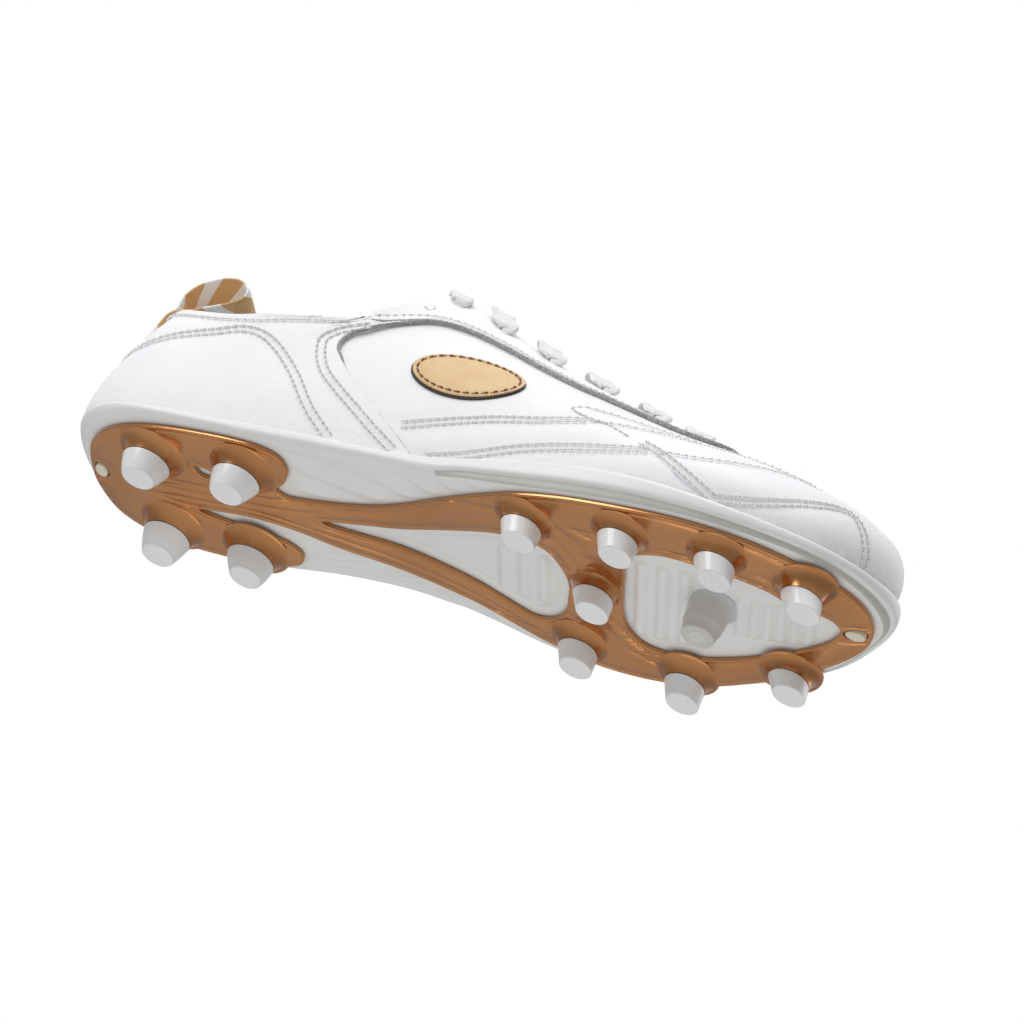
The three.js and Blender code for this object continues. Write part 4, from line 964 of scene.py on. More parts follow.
def add_facing(side, word, seams):
    high_at = facing_high(side)
    f, s = np.meshgrid(edged(150), edged(34), indexing="ij")
    w = 4.84 + f * (10.95 - 4.84)
    low = facing_low(w)
    t = low + s * (high_at(w) - low)

    def back(w, t):
        shelf = ramp01(t - facing_low(w), 0.065, 0.1) * ramp01(w, 5.2, 5.5) * (1 - ramp01(w, 10.2, 10.35))
        return LAYER2[0] + (0.4 - LAYER2[0]) * shelf
    piece = panel(f"facing_{word}_leather", side, w, t, LAYER2, f"facing_{word}", seams["facing"],
                  soft_relief(0.15, 31 + side), raw=("low",), fold=("high", "start", "end"), roll=1.0, back=back,
                  raw_step=1.3)
    verts, faces = cylinder_mesh(eyelet_spots(side), side)
    cutter = bpy.data.meshes.new("cutter")
    cutter.from_pydata(((verts + SHIFT) * 0.001).tolist(), [], faces)
    tool = bpy.data.objects.new("cutter", cutter)
    bpy.context.scene.collection.objects.link(tool)
    cut = piece.modifiers.new("eyelets", "BOOLEAN")
    cut.operation, cut.solver, cut.object = "DIFFERENCE", "EXACT", tool
    settle(piece)
    bpy.data.objects.remove(tool)
    add_spare_eyelet_shade(side, word)
    ws = np.linspace(4.86, 10.75, 300)
    add_raw_bead(f"facing_{word}_raw_edge", side, ws, facing_low(ws) - 0.004, 3.5, 0.78)
    ts = np.linspace(0.36, 0.592, 160)
    add_raw_bead(f"heel_quarter_{word}_raw_edge", side, heel_front(ts) + 0.02, ts, 3.35, 0.72)


def add_raw_bead(name, side, w, t, off, radius):
    """Fibrous cut edge of the leather, as a rough cord along the panel's border."""
    q = on_side(side, w)
    line = resample(skin(q, t, off), 0.35)
    pick = np.linspace(0, len(w) - 1, len(line)).astype(int)
    n = rib_normal(q[pick], t[pick])
    side_way = unit(np.cross(unit(np.gradient(line, axis=0)), n))
    rng = np.random.default_rng(77 + side)
    m = 12
    a = np.arange(m) * 2 * np.pi / m
    ends = np.minimum(np.arange(len(line)), np.arange(len(line))[::-1]) * 0.35
    size = radius * np.sqrt(np.clip(ends / 6.0, 0.05, 1))[:, None] * (1 + rng.normal(0, 0.09, (len(line), m)))
    rows = (line[:, None] + side_way[:, None] * (0.85 * size * np.cos(a))[..., None]
            + n[:, None] * (size * np.sin(a))[..., None])
    faces = grid_faces(len(line), m, wrap=True) + [
        list(range(m))[::-1], [(len(line) - 1) * m + k for k in range(m)]]
    make(name, rows.reshape(-1, 3), faces, [RAW_EDGE], sharp=70)


def settle(piece):
    """Bakes a piece's modifiers into its mesh."""
    bpy.context.view_layer.update()
    graph = bpy.context.evaluated_depsgraph_get()
    done = bpy.data.meshes.new_from_object(piece.evaluated_get(graph))
    piece.modifiers.clear()
    piece.data = done
    done.set_sharp_from_angle(angle=math.radians(38))


def add_spare_eyelet_shade(side, word):
    """Dark disc set in the unlaced eyelet: painted shade of the hole's depth."""
    w, t = SPARE_EYELET
    q = on_side(side, w)
    p, up = skin(q, t, 3.85), rib_normal(q, t)
    x = unit(np.cross(up, (0.3, 0.8, 0.2)))
    y = np.cross(up, x)
    a = np.arange(24) * 2 * np.pi / 24
    ring = x * np.cos(a)[:, None] + y * np.sin(a)[:, None]
    rows = [p + ring * 1.75 - up * 0.5, p + ring * 1.75, p + ring * 1.2 - up * 0.25]
    faces = grid_faces(3, 24, wrap=True) + [list(range(24))[::-1], list(range(48, 72))]
    make(f"spare_eyelet_{word}", np.vstack(rows), faces, [EYELET_PAINTED_SHADE])


PATCH_MID, PATCH_HALF = (6.95, 0.355), (20.0, 11.0)


def patch_solver(side, a, b):
    """Maps lengths along and across the patch to stations and heights, so that it keeps its oval."""
    def at(w, t):
        return skin(on_side(side, w), t, 3.4)
    start, end = at(*a), at(*b)
    length = np.linalg.norm(end - start)
    along = (end - start) / length
    mw, mt = (a[0] + b[0]) / 2, (a[1] + b[1]) / 2
    across = unit(np.cross(rib_normal(on_side(side, mw), mt), along))
    if np.dot(at(mw, mt + 0.01) - at(mw, mt), across) < 0:
        across = -across

    def solve(s, d):
        w = a[0] + (b[0] - a[0]) * s / length
        t = a[1] + (b[1] - a[1]) * s / length + d / 78
        for _ in range(6):
            p = at(w, t)
            pw, pt = (at(w + 0.02, t) - p) / 0.02, (at(w, t + 0.004) - p) / 0.004
            e1, e2 = s - (p - start) @ along, d - (p - start) @ across
            a11, a12, a21, a22 = pw @ along, pt @ along, pw @ across, pt @ across
            det = a11 * a22 - a12 * a21
            w = w + (e1 * a22 - e2 * a12) / det
            t = t + (e2 * a11 - e1 * a21) / det
        return w, t
    return solve, length


def patch_grid(solve, mid, grow=0.0, drop=0.0, n=72, m=33):
    """Oval of points, from rear to front in rows and from low to high across."""
    a = np.linspace(0.02, 0.98, n) * np.pi
    s = mid - (PATCH_HALF[0] + grow) * np.cos(a)
    wide = (PATCH_HALF[1] + grow) * np.sin(a)
    return solve(np.repeat(s[:, None], m, 1), wide[:, None] * np.linspace(-1, 1, m)[None] - drop)


def add_side_patch(side, word):
    """Plain oval leather patch with a dark cut edge, whose rim is shifted down the boot as painted shadow below
    the patch, and one row of stitching.
    """
    w0, t0 = PATCH_MID
    solve, length = patch_solver(side, (w0 - 0.5, t0), (w0 + 0.5, t0))
    mid = length / 2
    w, t = patch_grid(solve, mid)
    q = on_side(side, w)
    top, n = skin(q, t, 3.85), rib_normal(q, t)
    drop = rolled(edge_distance(top, ["start", "end", "low", "high"]), 0.45)
    a = np.linspace(0, 2 * np.pi, 160)
    loop = np.stack([mid + (PATCH_HALF[0] - 1.6) * np.cos(a), (PATCH_HALF[1] - 1.6) * np.sin(a)], 1)
    loop = resample(loop, 0.8)
    lw, lt = solve(loop[:, 0], loop[:, 1])
    lq = on_side(side, lw)
    line, normals = skin(lq, lt, 3.82), rib_normal(lq, lt)
    top = grooved(top, n, [line], 0.16, 0.7, 0.1, 2.0) - n * np.minimum(drop, 0.45)[..., None]
    verts, faces, _ = closed_sheet(top, skin(q, t, 3.3))
    make(f"side_patch_{word}_hide", verts, faces, [GOLD_HIDE], node=f"side_patch_{word}")
    sew(f"side_patch_{word}_stitching", [(line, normals)], [THREAD_BROWN, THREAD_BROWN], 3.2, 1.8, 0.34)
    # Dark rim under the patch, grown all round and shifted 0.45 mm towards the sole: the patch's dark cut edge
    # plus a painted shadow below it.
    w, t = patch_grid(solve, mid, 0.35, 0.45)
    q = on_side(side, w)
    top, n = skin(q, t, 3.45), rib_normal(q, t)
    top = top - n * rolled(edge_distance(top, ["start", "end", "low", "high"]), 0.3)[..., None]
    verts, faces, _ = closed_sheet(top, skin(q, t, 2.45))
    make(f"side_patch_{word}_edge", verts, faces, [DARK_EDGE_AND_SHADOW])


def collar_pad(w, t):
    f = np.clip(1 - (collar_edge(w) - t) / PAD_DEPTH, 0, 1)
    along = np.where(f < 0.6, np.sin(np.pi / 2 * f / 0.6), 1 - 0.45 * ((f - 0.6) / 0.4) ** 2)
    return 3.2 * along * np.clip((4.85 - w) / 0.85, 0, 1)


def add_lining():
    """Sock lining of the quarter with its rolled, padded top line."""
    q = np.unique(np.concatenate([np.linspace(-8.5, 8.5, 260), np.linspace(-4.9, 4.9, 60)]))
    w = np.abs(q)[:, None]
    top_t = np.where(w < 4.8, collar_edge(w), facing_low(w) + 0.03)
    s = edged(60)[None]
    t = s * (top_t - 0.012)
    inner_off = 0.2 - collar_pad(w, t)
    qq = np.broadcast_to(q[:, None], t.shape)
    face = skin(qq, t, inner_off)
    a = np.linspace(0.06, 1, 14)[None] * np.pi
    roll = np.clip((4.95 - w) / 0.3, 0, 1)
    near = inner_off[:, -1:]
    far = 1.0 + 2.0 * roll
    mid, half = (near + far) / 2, (far - near) / 2
    rt = (top_t - 0.012) + roll * 0.016 * np.sin(a)
    rolled_over = skin(np.broadcast_to(q[:, None], rt.shape), rt, mid - half * np.cos(a))
    seen = np.concatenate([face, rolled_over], 1)
    back_t = np.concatenate([t, np.broadcast_to(top_t - 0.012, rt.shape)], 1)
    back_off = np.maximum(1.0 - collar_pad(w, back_t), -3.0)
    hidden = skin(np.broadcast_to(q[:, None], back_t.shape), back_t, back_off)
    hidden[:, -1] = skin(q, (top_t - 0.02)[:, 0], far[:, 0] - 0.1)
    verts, faces, _ = closed_sheet(seen, hidden)
    piece = make("quarter_lining_cloth", verts, faces, [LINING],
                 node=("quarter_lining", "collar_foam"))


def add_vamp_lining():
    t_rows = np.linspace(0, 1, 40)
    start = np.where(t_rows > 0.6, 8.52 + 1.94 * ramp01(t_rows, 0.6, 0.68), 8.52)
    f = np.linspace(0, 1, 160)
    span = start[None] + f[:, None] * (RING - 2 * start[None])
    q = np.where(f[:, None] <= 0.5, span, RING - span[::-1])
    t = np.broadcast_to(t_rows, q.shape)
    grids = []
    for off in (1.0, 0.2):
        g = skin(q, t, off)
        g[:, -1] = (g[:, -1] + g[::-1, -1]) / 2
        grids.append(g)
    verts, faces, _ = closed_sheet(*grids, open_edges=("high",))
    make("vamp_lining_cloth", verts, faces, [LINING], node="vamp_lining", weld=0.03)


def add_tongue():
    """Padded tongue: stitched border, puffed middle, rounded free end."""
    b = edged(60)
    ws = np.concatenate([np.linspace(5.8, 6.2, 16), np.linspace(6.24, 10.9, 120)])
    bb, w = np.meshgrid(b, ws, indexing="ij")
    fold = 2 * np.minimum(bb, 1 - bb)
    w = w + np.where(w < 6.2, 0.28 * (1 - np.clip(fold / 0.25, 0, 1)) ** 2 * (6.2 - w) / 0.4, 0)
    q = np.where(bb <= 0.5, w, RING - w)
    t = 0.66 + 0.34 * fold
    n = rib_normal(q, np.minimum(t, 0.985))
    top = skin(q, t, -2.6)
    under = skin(q, t, -4.6)
    border = edge_distance(top, ["start", "end", "low", "high"])
    edge_line = [top[np.abs(border - 4.0) < 0.55]]
    puff = 0.55 * ramp01(border, 4.0, 9.0) * (1 + 0.25 * np.sin(w * 9.0))
    d = polyline_distance(top, edge_line) if len(edge_line[0]) else np.full(top.shape[:2], 9.0)
    shape = puff - 0.4 * np.exp(-((d / 0.9) ** 2)) - rolled(border, 1.0)
    top = top + n * shape[..., None]
    under = under - n * (0.3 * ramp01(border, 3.0, 9.0) - 0.6 * rolled(border, 0.9))[..., None]
    verts, faces, _ = closed_sheet(top, under)
    piece = make("tongue_leather", verts, faces, [WHITE_SOFT], body="tongue", node="tongue")
    return piece


# ------------------------------------------------------------------ tapes: pull loop and lace
def ribbon(name, centre, wide, thick, widths, depths, mat, closed=False, body="boot",
           node=None, tile=None):
    """Flat woven tape swept along a line, with UVs in tape widths."""
    m = 20
    a = np.arange(m) * 2 * np.pi / m
    cx = np.sign(np.cos(a)) * np.abs(np.cos(a)) ** 0.28
    cy = np.sign(np.sin(a)) * np.abs(np.sin(a)) ** 0.7
    loops = (centre[:, None] + wide[:, None] * (cx[None] * widths[:, None] / 2)[..., None]
             + thick[:, None] * (cy[None] * depths[:, None] / 2)[..., None])
    n = len(centre)
    s = np.concatenate([[0], np.cumsum(np.linalg.norm(np.diff(centre, axis=0), axis=1))])
    uv = np.stack(np.broadcast_arrays((s / (tile or widths.max()))[:, None], (cx[None] + 1) / 2), -1)
    if closed:
        loops = np.concatenate([loops, loops[:1]])
        gap = np.linalg.norm(centre[0] - centre[-1])
        uv = np.concatenate([uv, uv[:1] + np.array(((s[-1] + gap) / (tile or widths.max()), 0))])
        n += 1
    faces = grid_faces(n, m, wrap=True)
    if not closed:
        faces += [list(range(m))[::-1], [(n - 1) * m + k for k in range(m)]]
    return make(name, loops.reshape(-1, 3), faces, [mat], uvs=uv.reshape(-1, 2), body=body, node=node,
                weld=1e-4 if closed else 0, sharp=60)


LOOP_PATH = ((-25.2, 75.6), (-25.6, 81), (-22.6, 87.3), (-16.8, 91.8), (-10.6, 93.2), (-6.2, 90.4),
             (-6.4, 86.4),
             (-10.5, 82.6), (-16, 79.4), (-21.5, 76.4))


LOOP_WIDTH, LOOP_THICK, LOOP_SEAM_HEIGHT = 16.0, 1.4, 78.6


def add_pull_loop():
    """Striped webbing loop, its anchor tape down the back seam, and the row of stitches at its foot."""
    path = catmull([(x, 0, z) for x, z in LOOP_PATH], 18, closed=True)
    tangent = unit(np.roll(path, -1, 0) - np.roll(path, 1, 0))
    wide = np.broadcast_to((0.0, 1.0, 0.0), path.shape)
    thick = np.cross(tangent, wide)
    ones = np.ones(len(path))
    ribbon("pull_loop_webbing", path, wide, thick, LOOP_WIDTH * ones, LOOP_THICK * ones, WEBBING, True,
           body="pull_loop", node="pull_loop", tile=LOOP_WIDTH)
    back = np.linspace(collar_edge(0.0) - 0.13, collar_edge(0.0) - 0.01, 12)
    climb = skin(np.zeros(12), back, np.linspace(4.2, 4.75, 12))
    climb[:, 1] = 0
    top = np.array(((-25.6, 0, 75.4), (-25.5, 0, 77.4)))
    anchor = catmull(np.vstack([climb[::4], climb[-1:], top]), 8)
    anchor_wide = np.broadcast_to((0.0, 1.0, 0.0), anchor.shape)
    anchor_thick = np.cross(unit(np.gradient(anchor, axis=0)), anchor_wide)
    ones = np.ones(len(anchor))
    ribbon("pull_loop_anchor", anchor, anchor_wide, anchor_thick, 16.6 * ones, 1.3 * ones,
           WEBBING, tile=LOOP_WIDTH)
    k = np.argmin(np.abs(path[:, 2] - LOOP_SEAM_HEIGHT) + 50 * (path[:, 0] > -22))
    ys = np.linspace(-7, 7, 30)[:, None]
    line = path[k] + np.concatenate([ys * 0, ys, ys * 0], 1)
    out = -thick[k] if np.dot(-thick[k], (-1, 0, 0)) > 0 else thick[k]
    rows = [(line + out * 0.72, np.broadcast_to(out, line.shape))]
    # The grey needle holes here are painted shade.
    sew("pull_loop_stitching", rows, [THREAD_WHITE, NEEDLE_HOLE_SHADE], 3.0, 2.2, 0.3, body="pull_loop")


OVER = ((-13, 6.1), (-10.5, 6.6), (-5, 5.0), (0, 3.2), (5, 3.8), (7.4, 2.2), (9.4, -0.8), (13.6, -1.3))
UNDER = ((-13, 6.1), (-10.5, 6.2), (-5, 3.6), (0, 0.3), (5, -0.7), (8, -1.1), (11, -1.3), (13.6, -1.3))


def through_eyelet(w, sign):
    climb = ((15.7, -0.9), (16.5, 0.5), (16.5, 2.2), (16.6, 3.9), (15.4, 5.3))
    return [(w, sign * d, off, 1 if off < 5 else 0.35) for d, off in climb]


def strand(sign, over_first):
    pts = []
    for k, w in enumerate(EYELET_W):
        pts += through_eyelet(w, sign)
        if k == len(EYELET_W) - 1:
            break
        profile = OVER if (k % 2 == 0) == over_first else UNDER
        ahead = EYELET_W[k + 1]
        for d, off in profile:
            f = (d + EYELET_REACH) / (2 * EYELET_REACH)
            f += 0.15 * math.sin(2 * math.pi * f)
            pts.append((w + (ahead - w) * f, -sign * d, off, 0))
        sign = -sign
    end = ((6.0, 13.2, 5.0), (5.93, 10.6, 4.9), (5.88, 8.9, 2.4), (5.84, 9.6, -0.6), (5.82, 12, -1.4),
           (5.78, 18, -1.4), (5.72, 28, -1.4), (5.66, 40, -1.8), (5.62, 52, -2.4))
    return pts + [(w, sign * d, off, 0) for w, d, off in end]


def on_upper(w, d, off):
    q = np.where(d < 0, w, RING - w)
    return skin(q, height_at_reach(q, np.abs(d)), off)


def add_lace():
    """One flat lace from its lateral end, down the eyelets and back to its medial end."""
    bar = [(EYELET_W[0], d, -1.2 if abs(d) > 10 else -1.6, 0) for d in (-13.6, -8, 0, 8, 13.6)]
    way = np.array(strand(-1, True)[::-1] + bar + strand(1, False), float)
    pts = on_upper(way[:, 0], way[:, 1], way[:, 2])
    per = 8
    centre = catmull(pts, per)
    at = np.linspace(0, len(way) - 1, (len(way) - 1) * per + 1)
    w, d, neck = (np.interp(at, np.arange(len(way)), way[:, k]) for k in (0, 1, 3))
    tangent = unit(np.gradient(centre, axis=0))
    ahead = unit(on_upper(w + 0.1, d, 0) - on_upper(w - 0.1, d, 0))
    wide = unit(ahead - tangent * (ahead * tangent).sum(1, keepdims=True))
    thick = unit(np.cross(tangent, wide))
    ribbon("lace_tape", centre, wide, thick, 7.8 + (3.6 - 7.8) * neck, 1.6 + 0.1 * neck, LACE_CLOTH,
           node="lace", tile=5.2)
    return np.linalg.norm(np.diff(centre, axis=0), axis=1).sum()


# ------------------------------------------------------------------ sole
FRAME_OUTLINE = (
    (-30, 3), (-29, -5), (-27, -11), (-22, -18), (-15, -23.5), (-6, -27.5), (4, -30), (16, -31.5),
    (28, -32), (37, -31), (43, -27.5), (45, -21), (43, -15), (39.5, -10), (42, -7.5), (50, -7.5),
    (61, -9), (73, -12), (83, -16.5), (98, -26), (113, -35), (127, -42.5), (141, -46.5),
    (154, -48.5), (167, -49.5), (179, -49.5), (190, -48), (205, -43.5), (217, -37), (228, -29),
    (235, -20.5), (238.5, -13), (239.5, -5), (237.5, 2.5), (232, 9), (224, 15), (214, 21.5),
    (200, 28.5), (187, 34), (172, 37.5), (160, 38.5), (146, 37.5), (134, 34), (118, 28), (105, 23.5),
    (91, 20.5), (72, 17), (57, 14), (43, 9.5), (31, 7.5), (20, 8), (8, 10.5), (19, 13.5), (31, 15),
    (39, 18), (43, 22.5), (42, 27.5), (36, 30.5), (24, 32.5), (10, 33), (-5, 32), (-17, 28),
    (-24, 23), (-28, 16), (-30, 9),
)
WAIST_WINDOW = (
    (53, 2), (67, -1), (81, -4), (103, -13), (119, -19), (128, -20), (135, -17.5), (139.5, -10),
    (141, -3), (140, 4), (138, 12), (133, 18.5), (126, 20.5), (119, 18), (106, 12.5), (93, 9),
    (80, 6.5), (66, 5), (56, 3.5),
)
FORE_WINDOW = (
    (161, -13), (159.5, -3), (158.5, 8), (159.5, 14), (163, 19.5), (169, 22), (181, 21.5), (194, 18),
    (207, 12.5), (219, 6.5), (226, 1.5), (229.5, -4), (228, -8.5), (223, -12.5), (213, -17),
    (209.5, -20), (199, -25), (185, -28.5), (175, -29.5), (166, -26.5), (162, -20),
)
HEEL_NOTCH = ((11, -13.5), (21, -10.5), (13, -8.5))
TOE_SLOT = (234, -3, 3.4, 2.3)
HEEL_SLOT = (-26, 3, 2.2, 3.2)
HEEL_STUDS = (
    ("stud_heel_lateral_rear", -3, -16.5, 0, -0.3, 1), ("stud_heel_lateral_front", 29, -20, 0, 0.3, 1),
    ("stud_heel_medial_rear", -4, 24.5, 0, 0.6, -1.7), ("stud_heel_medial_front", 28, 24, 0, -1.3, 0),
)
FORE_STUDS = (
    ("stud_fore_lateral_1", 132, -34, 0, -1.7, 1.5), ("stud_fore_lateral_2", 165, -39, 0, -1.8, 1),
    ("stud_fore_lateral_3", 197, -38, 1, -2.4, 1), ("stud_fore_lateral_4", 224.5, -29.5, 3, -3, 2),
    ("stud_fore_centre_rear", 153.5, -6, 0, -2.3, 1, 8.8), ("stud_fore_medial_1", 144, 26.5, 0, -1.7, 0),
    ("stud_fore_medial_2", 180, 31, 0, -1.6, -0.5), ("stud_fore_medial_3", 216, 16.5, 3.4, -2.7, 2),
)
WINDOW_STUD = ("stud_fore_centre_front", 188.5, -6.5, 1, 0, 0)


def smooth_outline(points, per=7):
    p = catmull([(x, y, 0) for x, y in points], per, closed=True)
    return p[:, :2]


def oval(x, y, rx, ry, grow=0.0, n=40):
    a = np.arange(n) * 2 * np.pi / n
    return np.stack([x + (rx + grow) * np.cos(a), y + (ry + grow) * np.sin(a)], 1)


def inside(points, outline):
    """Even-odd test of (n, 2) points against a closed outline."""
    x, y = points[:, 0][:, None], points[:, 1][:, None]
    a, b = outline, np.roll(outline, -1, 0)
    cross = (a[:, 1] > y) != (b[:, 1] > y)
    slope = (b[:, 0] - a[:, 0]) / np.where(b[:, 1] == a[:, 1], 1e-9, b[:, 1] - a[:, 1])
    return (cross & (x < a[:, 0] + slope * (y - a[:, 1]))).sum(1) % 2 == 1


def outline_distance(points, outline, step=0.8):
    dense = resample(np.vstack([outline, outline[:1]]), step)
    best = np.full(len(points), 1e3)
    for lo in range(0, len(points), 3000):
        part = points[lo:lo + 3000]
        best[lo:lo + 3000] = np.sqrt(((part[:, None] - dense[None]) ** 2).sum(-1).min(1))
    return best


def rib_bars(x, y, centres, half, y0, y1, lean=0.0):
    """Rounded ridges across the sole at each centre, between two y limits."""
    ends = ramp01(y, y0 - 1.2, y0 + 1.2) * (1 - ramp01(y, y1 - 1.2, y1 + 1.2))
    h = np.zeros_like(x)
    for c in centres:
        d = np.abs(x - c - lean * (y - (y0 + y1) / 2)) / half
        h = np.maximum(h, np.clip(1 - d**2, 0, 1) ** 0.5 * ends)
    return h


def plate_relief(x, y):
    """Depth of the white underside's moulding, outward (down) positive."""
    shape = x.shape
    p = np.stack([x.ravel(), y.ravel()], 1)
    fore, waist, rim = (smooth_outline(o) for o in (FORE_WINDOW, WAIST_WINDOW, FRAME_OUTLINE))
    in_fore, in_waist = inside(p, fore).reshape(shape), inside(p, waist).reshape(shape)
    d_fore, d_waist = outline_distance(p, fore).reshape(shape), outline_distance(p, waist).reshape(shape)
    in_rim = inside(p, rim).reshape(shape)
    h = np.zeros(shape)
    ribs = 1.2 * rib_bars(x, y, (165, 172, 179.5), 2.1, -22, 16, -0.13)
    ribs += 0.95 * rib_bars(x, y, (197.5, 201.9, 206.3, 210.7, 215.1, 219.5), 1.75, -13, 6.5, -0.13)
    ribs -= 0.35 * np.exp(-(((y - 7.0) / 0.9) ** 2)) * ramp01(x, 192, 196) * (1 - ramp01(x, 219, 222))
    h += np.where(in_fore & (d_fore > 1.6), ribs, 0)
    bars = 1.05 * rib_bars(x, y, (117.5, 124.5, 131.5), 2.0, -12, 12, -0.13)
    channel = 0.6 * np.exp(-(((d_waist - 3.6) / 0.8) ** 2)) * ramp01(x, 78, 92)
    h += np.where(in_waist, bars * (d_waist > 4.6) - channel, 0)
    arch = ramp01(x, 40, 54) * (1 - ramp01(x, 104, 124)) * ~in_rim
    out = np.where(y < -3, -y, y)
    d_rim = outline_distance(p, rim).reshape(shape)
    swirl = np.sin((x * 0.62 + out * 1.35 + 5.0 * np.sin(x * 0.055)) / 2.35)
    h += arch * 0.8 * (np.abs(swirl) ** 1.4 * np.sign(swirl)) * ramp01(d_rim, 0.5, 4.0)
    return h


SIDE_PLAIN = np.array((
    (3.3, 0.45), (3.3, 0.10), (3.42, 0.02), (3.75, 0.0), (4.25, 0.01), (4.75, 0.07), (5.1, 0.17),
    (5.32, 0.32),
    (5.38, 0.48), (5.3, 0.63), (5.05, 0.77), (4.6, 0.88), (3.95, 0.955), (3.0, 0.995), (2.0, 1.0),
))
SIDE_HEEL = np.array((
    (3.3, 0.45), (3.3, 0.10), (3.38, 0.02), (3.6, 0.0), (3.85, 0.02), (4.05, 0.08), (4.12, 0.18),
    (4.05, 0.32),
    (3.85, 0.46), (3.45, 0.6), (2.9, 0.74), (2.2, 0.85), (1.5, 0.93), (0.8, 0.98), (0.1, 1.0),
))
SIDE_STEPPED = np.array((
    (3.3, 0.45), (3.3, 0.05), (3.42, 0.01), (3.75, 0.0), (4.25, 0.01), (4.75, 0.05), (5.1, 0.12),
    (5.32, 0.24),
    (5.38, 0.40), (5.28, 0.54), (4.95, 0.63), (4.3, 0.665), (3.95, 0.74), (3.72, 0.9), (2.0, 1.0),
))


def add_plate():
    """White outsole plate: sidewall round the boot, moulded underside, flat floor inside."""
    w = np.concatenate([np.linspace(0, 0.5, 16), np.linspace(0.52, 14.6, 400), np.linspace(14.63, 15, 16)])
    profile = []
    for side in (LATERAL, MEDIAL):
        q = on_side(side, w)
        groove = ramp01(w, 6.9, 7.6)[:, None]
        heel = (1 - ramp01(w, 0.8, 3.4))[:, None]
        plain, step, round_heel = (catmull(np.column_stack([s, s[:, 0] * 0]), 3)[:, :2]
                                   for s in (SIDE_PLAIN, SIDE_STEPPED, SIDE_HEEL))
        mix = (plain[None] + (step - plain)[None] * groove[..., None]
               + (round_heel - plain)[None] * heel[..., None])
        off, drop = mix[..., 0], mix[..., 1]
        reach = 1 + 0.55 * ramp01(w, 11.5, 14.5)
        off = np.where(off > 3.3, 3.3 + (off - 3.3) * reach[:, None], off)
        qq = np.broadcast_to(q[:, None], off.shape)
        p = foot_edge(qq, off)
        rim = rib_point(q, 0)[:, 2:3] + 0.35 * (1 - ramp01(w, 5.5, 7.5))[:, None] - 0.2
        base = sole_level(foot_edge(q, np.full(q.shape, 2.0))[:, 0])[:, None] + PLATE_LIFT
        p[..., 2] = rim + (base - rim) * drop
        profile.append(p)
    lat, med = profile
    f = np.linspace(0, 1, 132)[1:-1]
    under = lat[:, -1][:, None] * (1 - f[None, :, None]) + med[:, -1][:, None] * f[None, :, None]
    under[..., 2] = sole_level(under[..., 0]) + PLATE_LIFT
    fade = ramp01(np.minimum(f, 1 - f) * np.linalg.norm(lat[:, -1] - med[:, -1], axis=1)[:, None], 0.3, 2.5)
    under[..., 2] -= plate_relief(under[..., 0], under[..., 1]) * fade
    ends = [foot_edge(on_side(side, w), np.full(w.shape, 3.3)) for side in (LATERAL, MEDIAL)]
    g = np.linspace(1, 0, 9)
    floor = ends[0][:, None] * (1 - g[None, :, None]) + ends[1][:, None] * g[None, :, None]
    floor[..., 2] = floor_top(floor[..., 0])
    loops = np.concatenate([lat, under, med[:, ::-1], floor], 1)
    n, m = loops.shape[:2]
    faces = grid_faces(n, m, wrap=True)
    kinds = np.zeros((n - 1, m), int)
    # Grey band on the stepped groove of the forepart sidewall: partly the sole's own grey, partly painted shade of
    # the groove.
    band = slice(34, 40)
    stepped = (w[:-1] > 7.15)[:, None]
    kinds[:, band] = np.where(stepped, 1, 0)
    kinds[:, m - 9 - 1 - 40:m - 9 - 1 - 34] = np.where(stepped, 1, 0)
    make("outsole_plate_tpu", loops.reshape(-1, 3), faces, [SOLE_WHITE, SOLE_GREY_AND_SHADE], kinds.ravel(),
         node="outsole_plate", weld=0.01, sharp=50)


def bevelled_plan(loops, depth, bevel):
    """Bmesh of a flat plate with round edges, from closed outlines, first one outermost."""
    curve = bpy.data.curves.new("plan", "CURVE")
    curve.dimensions, curve.fill_mode = "2D", "BOTH"
    curve.extrude, curve.bevel_depth, curve.bevel_resolution = depth / 2 - bevel, bevel, 2
    curve.offset = -bevel
    for pts in loops:
        spline = curve.splines.new("POLY")
        spline.points.add(len(pts) - 1)
        spline.points.foreach_set("co", np.column_stack([pts, np.zeros(len(pts)), np.ones(len(pts))]).ravel())
        spline.use_cyclic_u = True
    holder = bpy.data.objects.new("plan", curve)
    bpy.context.scene.collection.objects.link(holder)
    bpy.context.view_layer.update()
    mesh = bpy.data.meshes.new_from_object(holder.evaluated_get(bpy.context.evaluated_depsgraph_get()))
    bpy.data.objects.remove(holder)
    bm = bmesh.new()
    bm.from_mesh(mesh)
    bmesh.ops.remove_doubles(bm, verts=bm.verts, dist=1e-4)
    return bm


def slice_plan(bm, xs, ys):
    for axis, values in ((0, xs), (1, ys)):
        for v in values:
            place, normal = [0, 0, 0], [0, 0, 0]
            place[axis], normal[axis] = v, 1
            bmesh.ops.bisect_plane(bm, geom=bm.verts[:] + bm.edges[:] + bm.faces[:], dist=1e-5,
                                   plane_co=place, plane_no=normal)


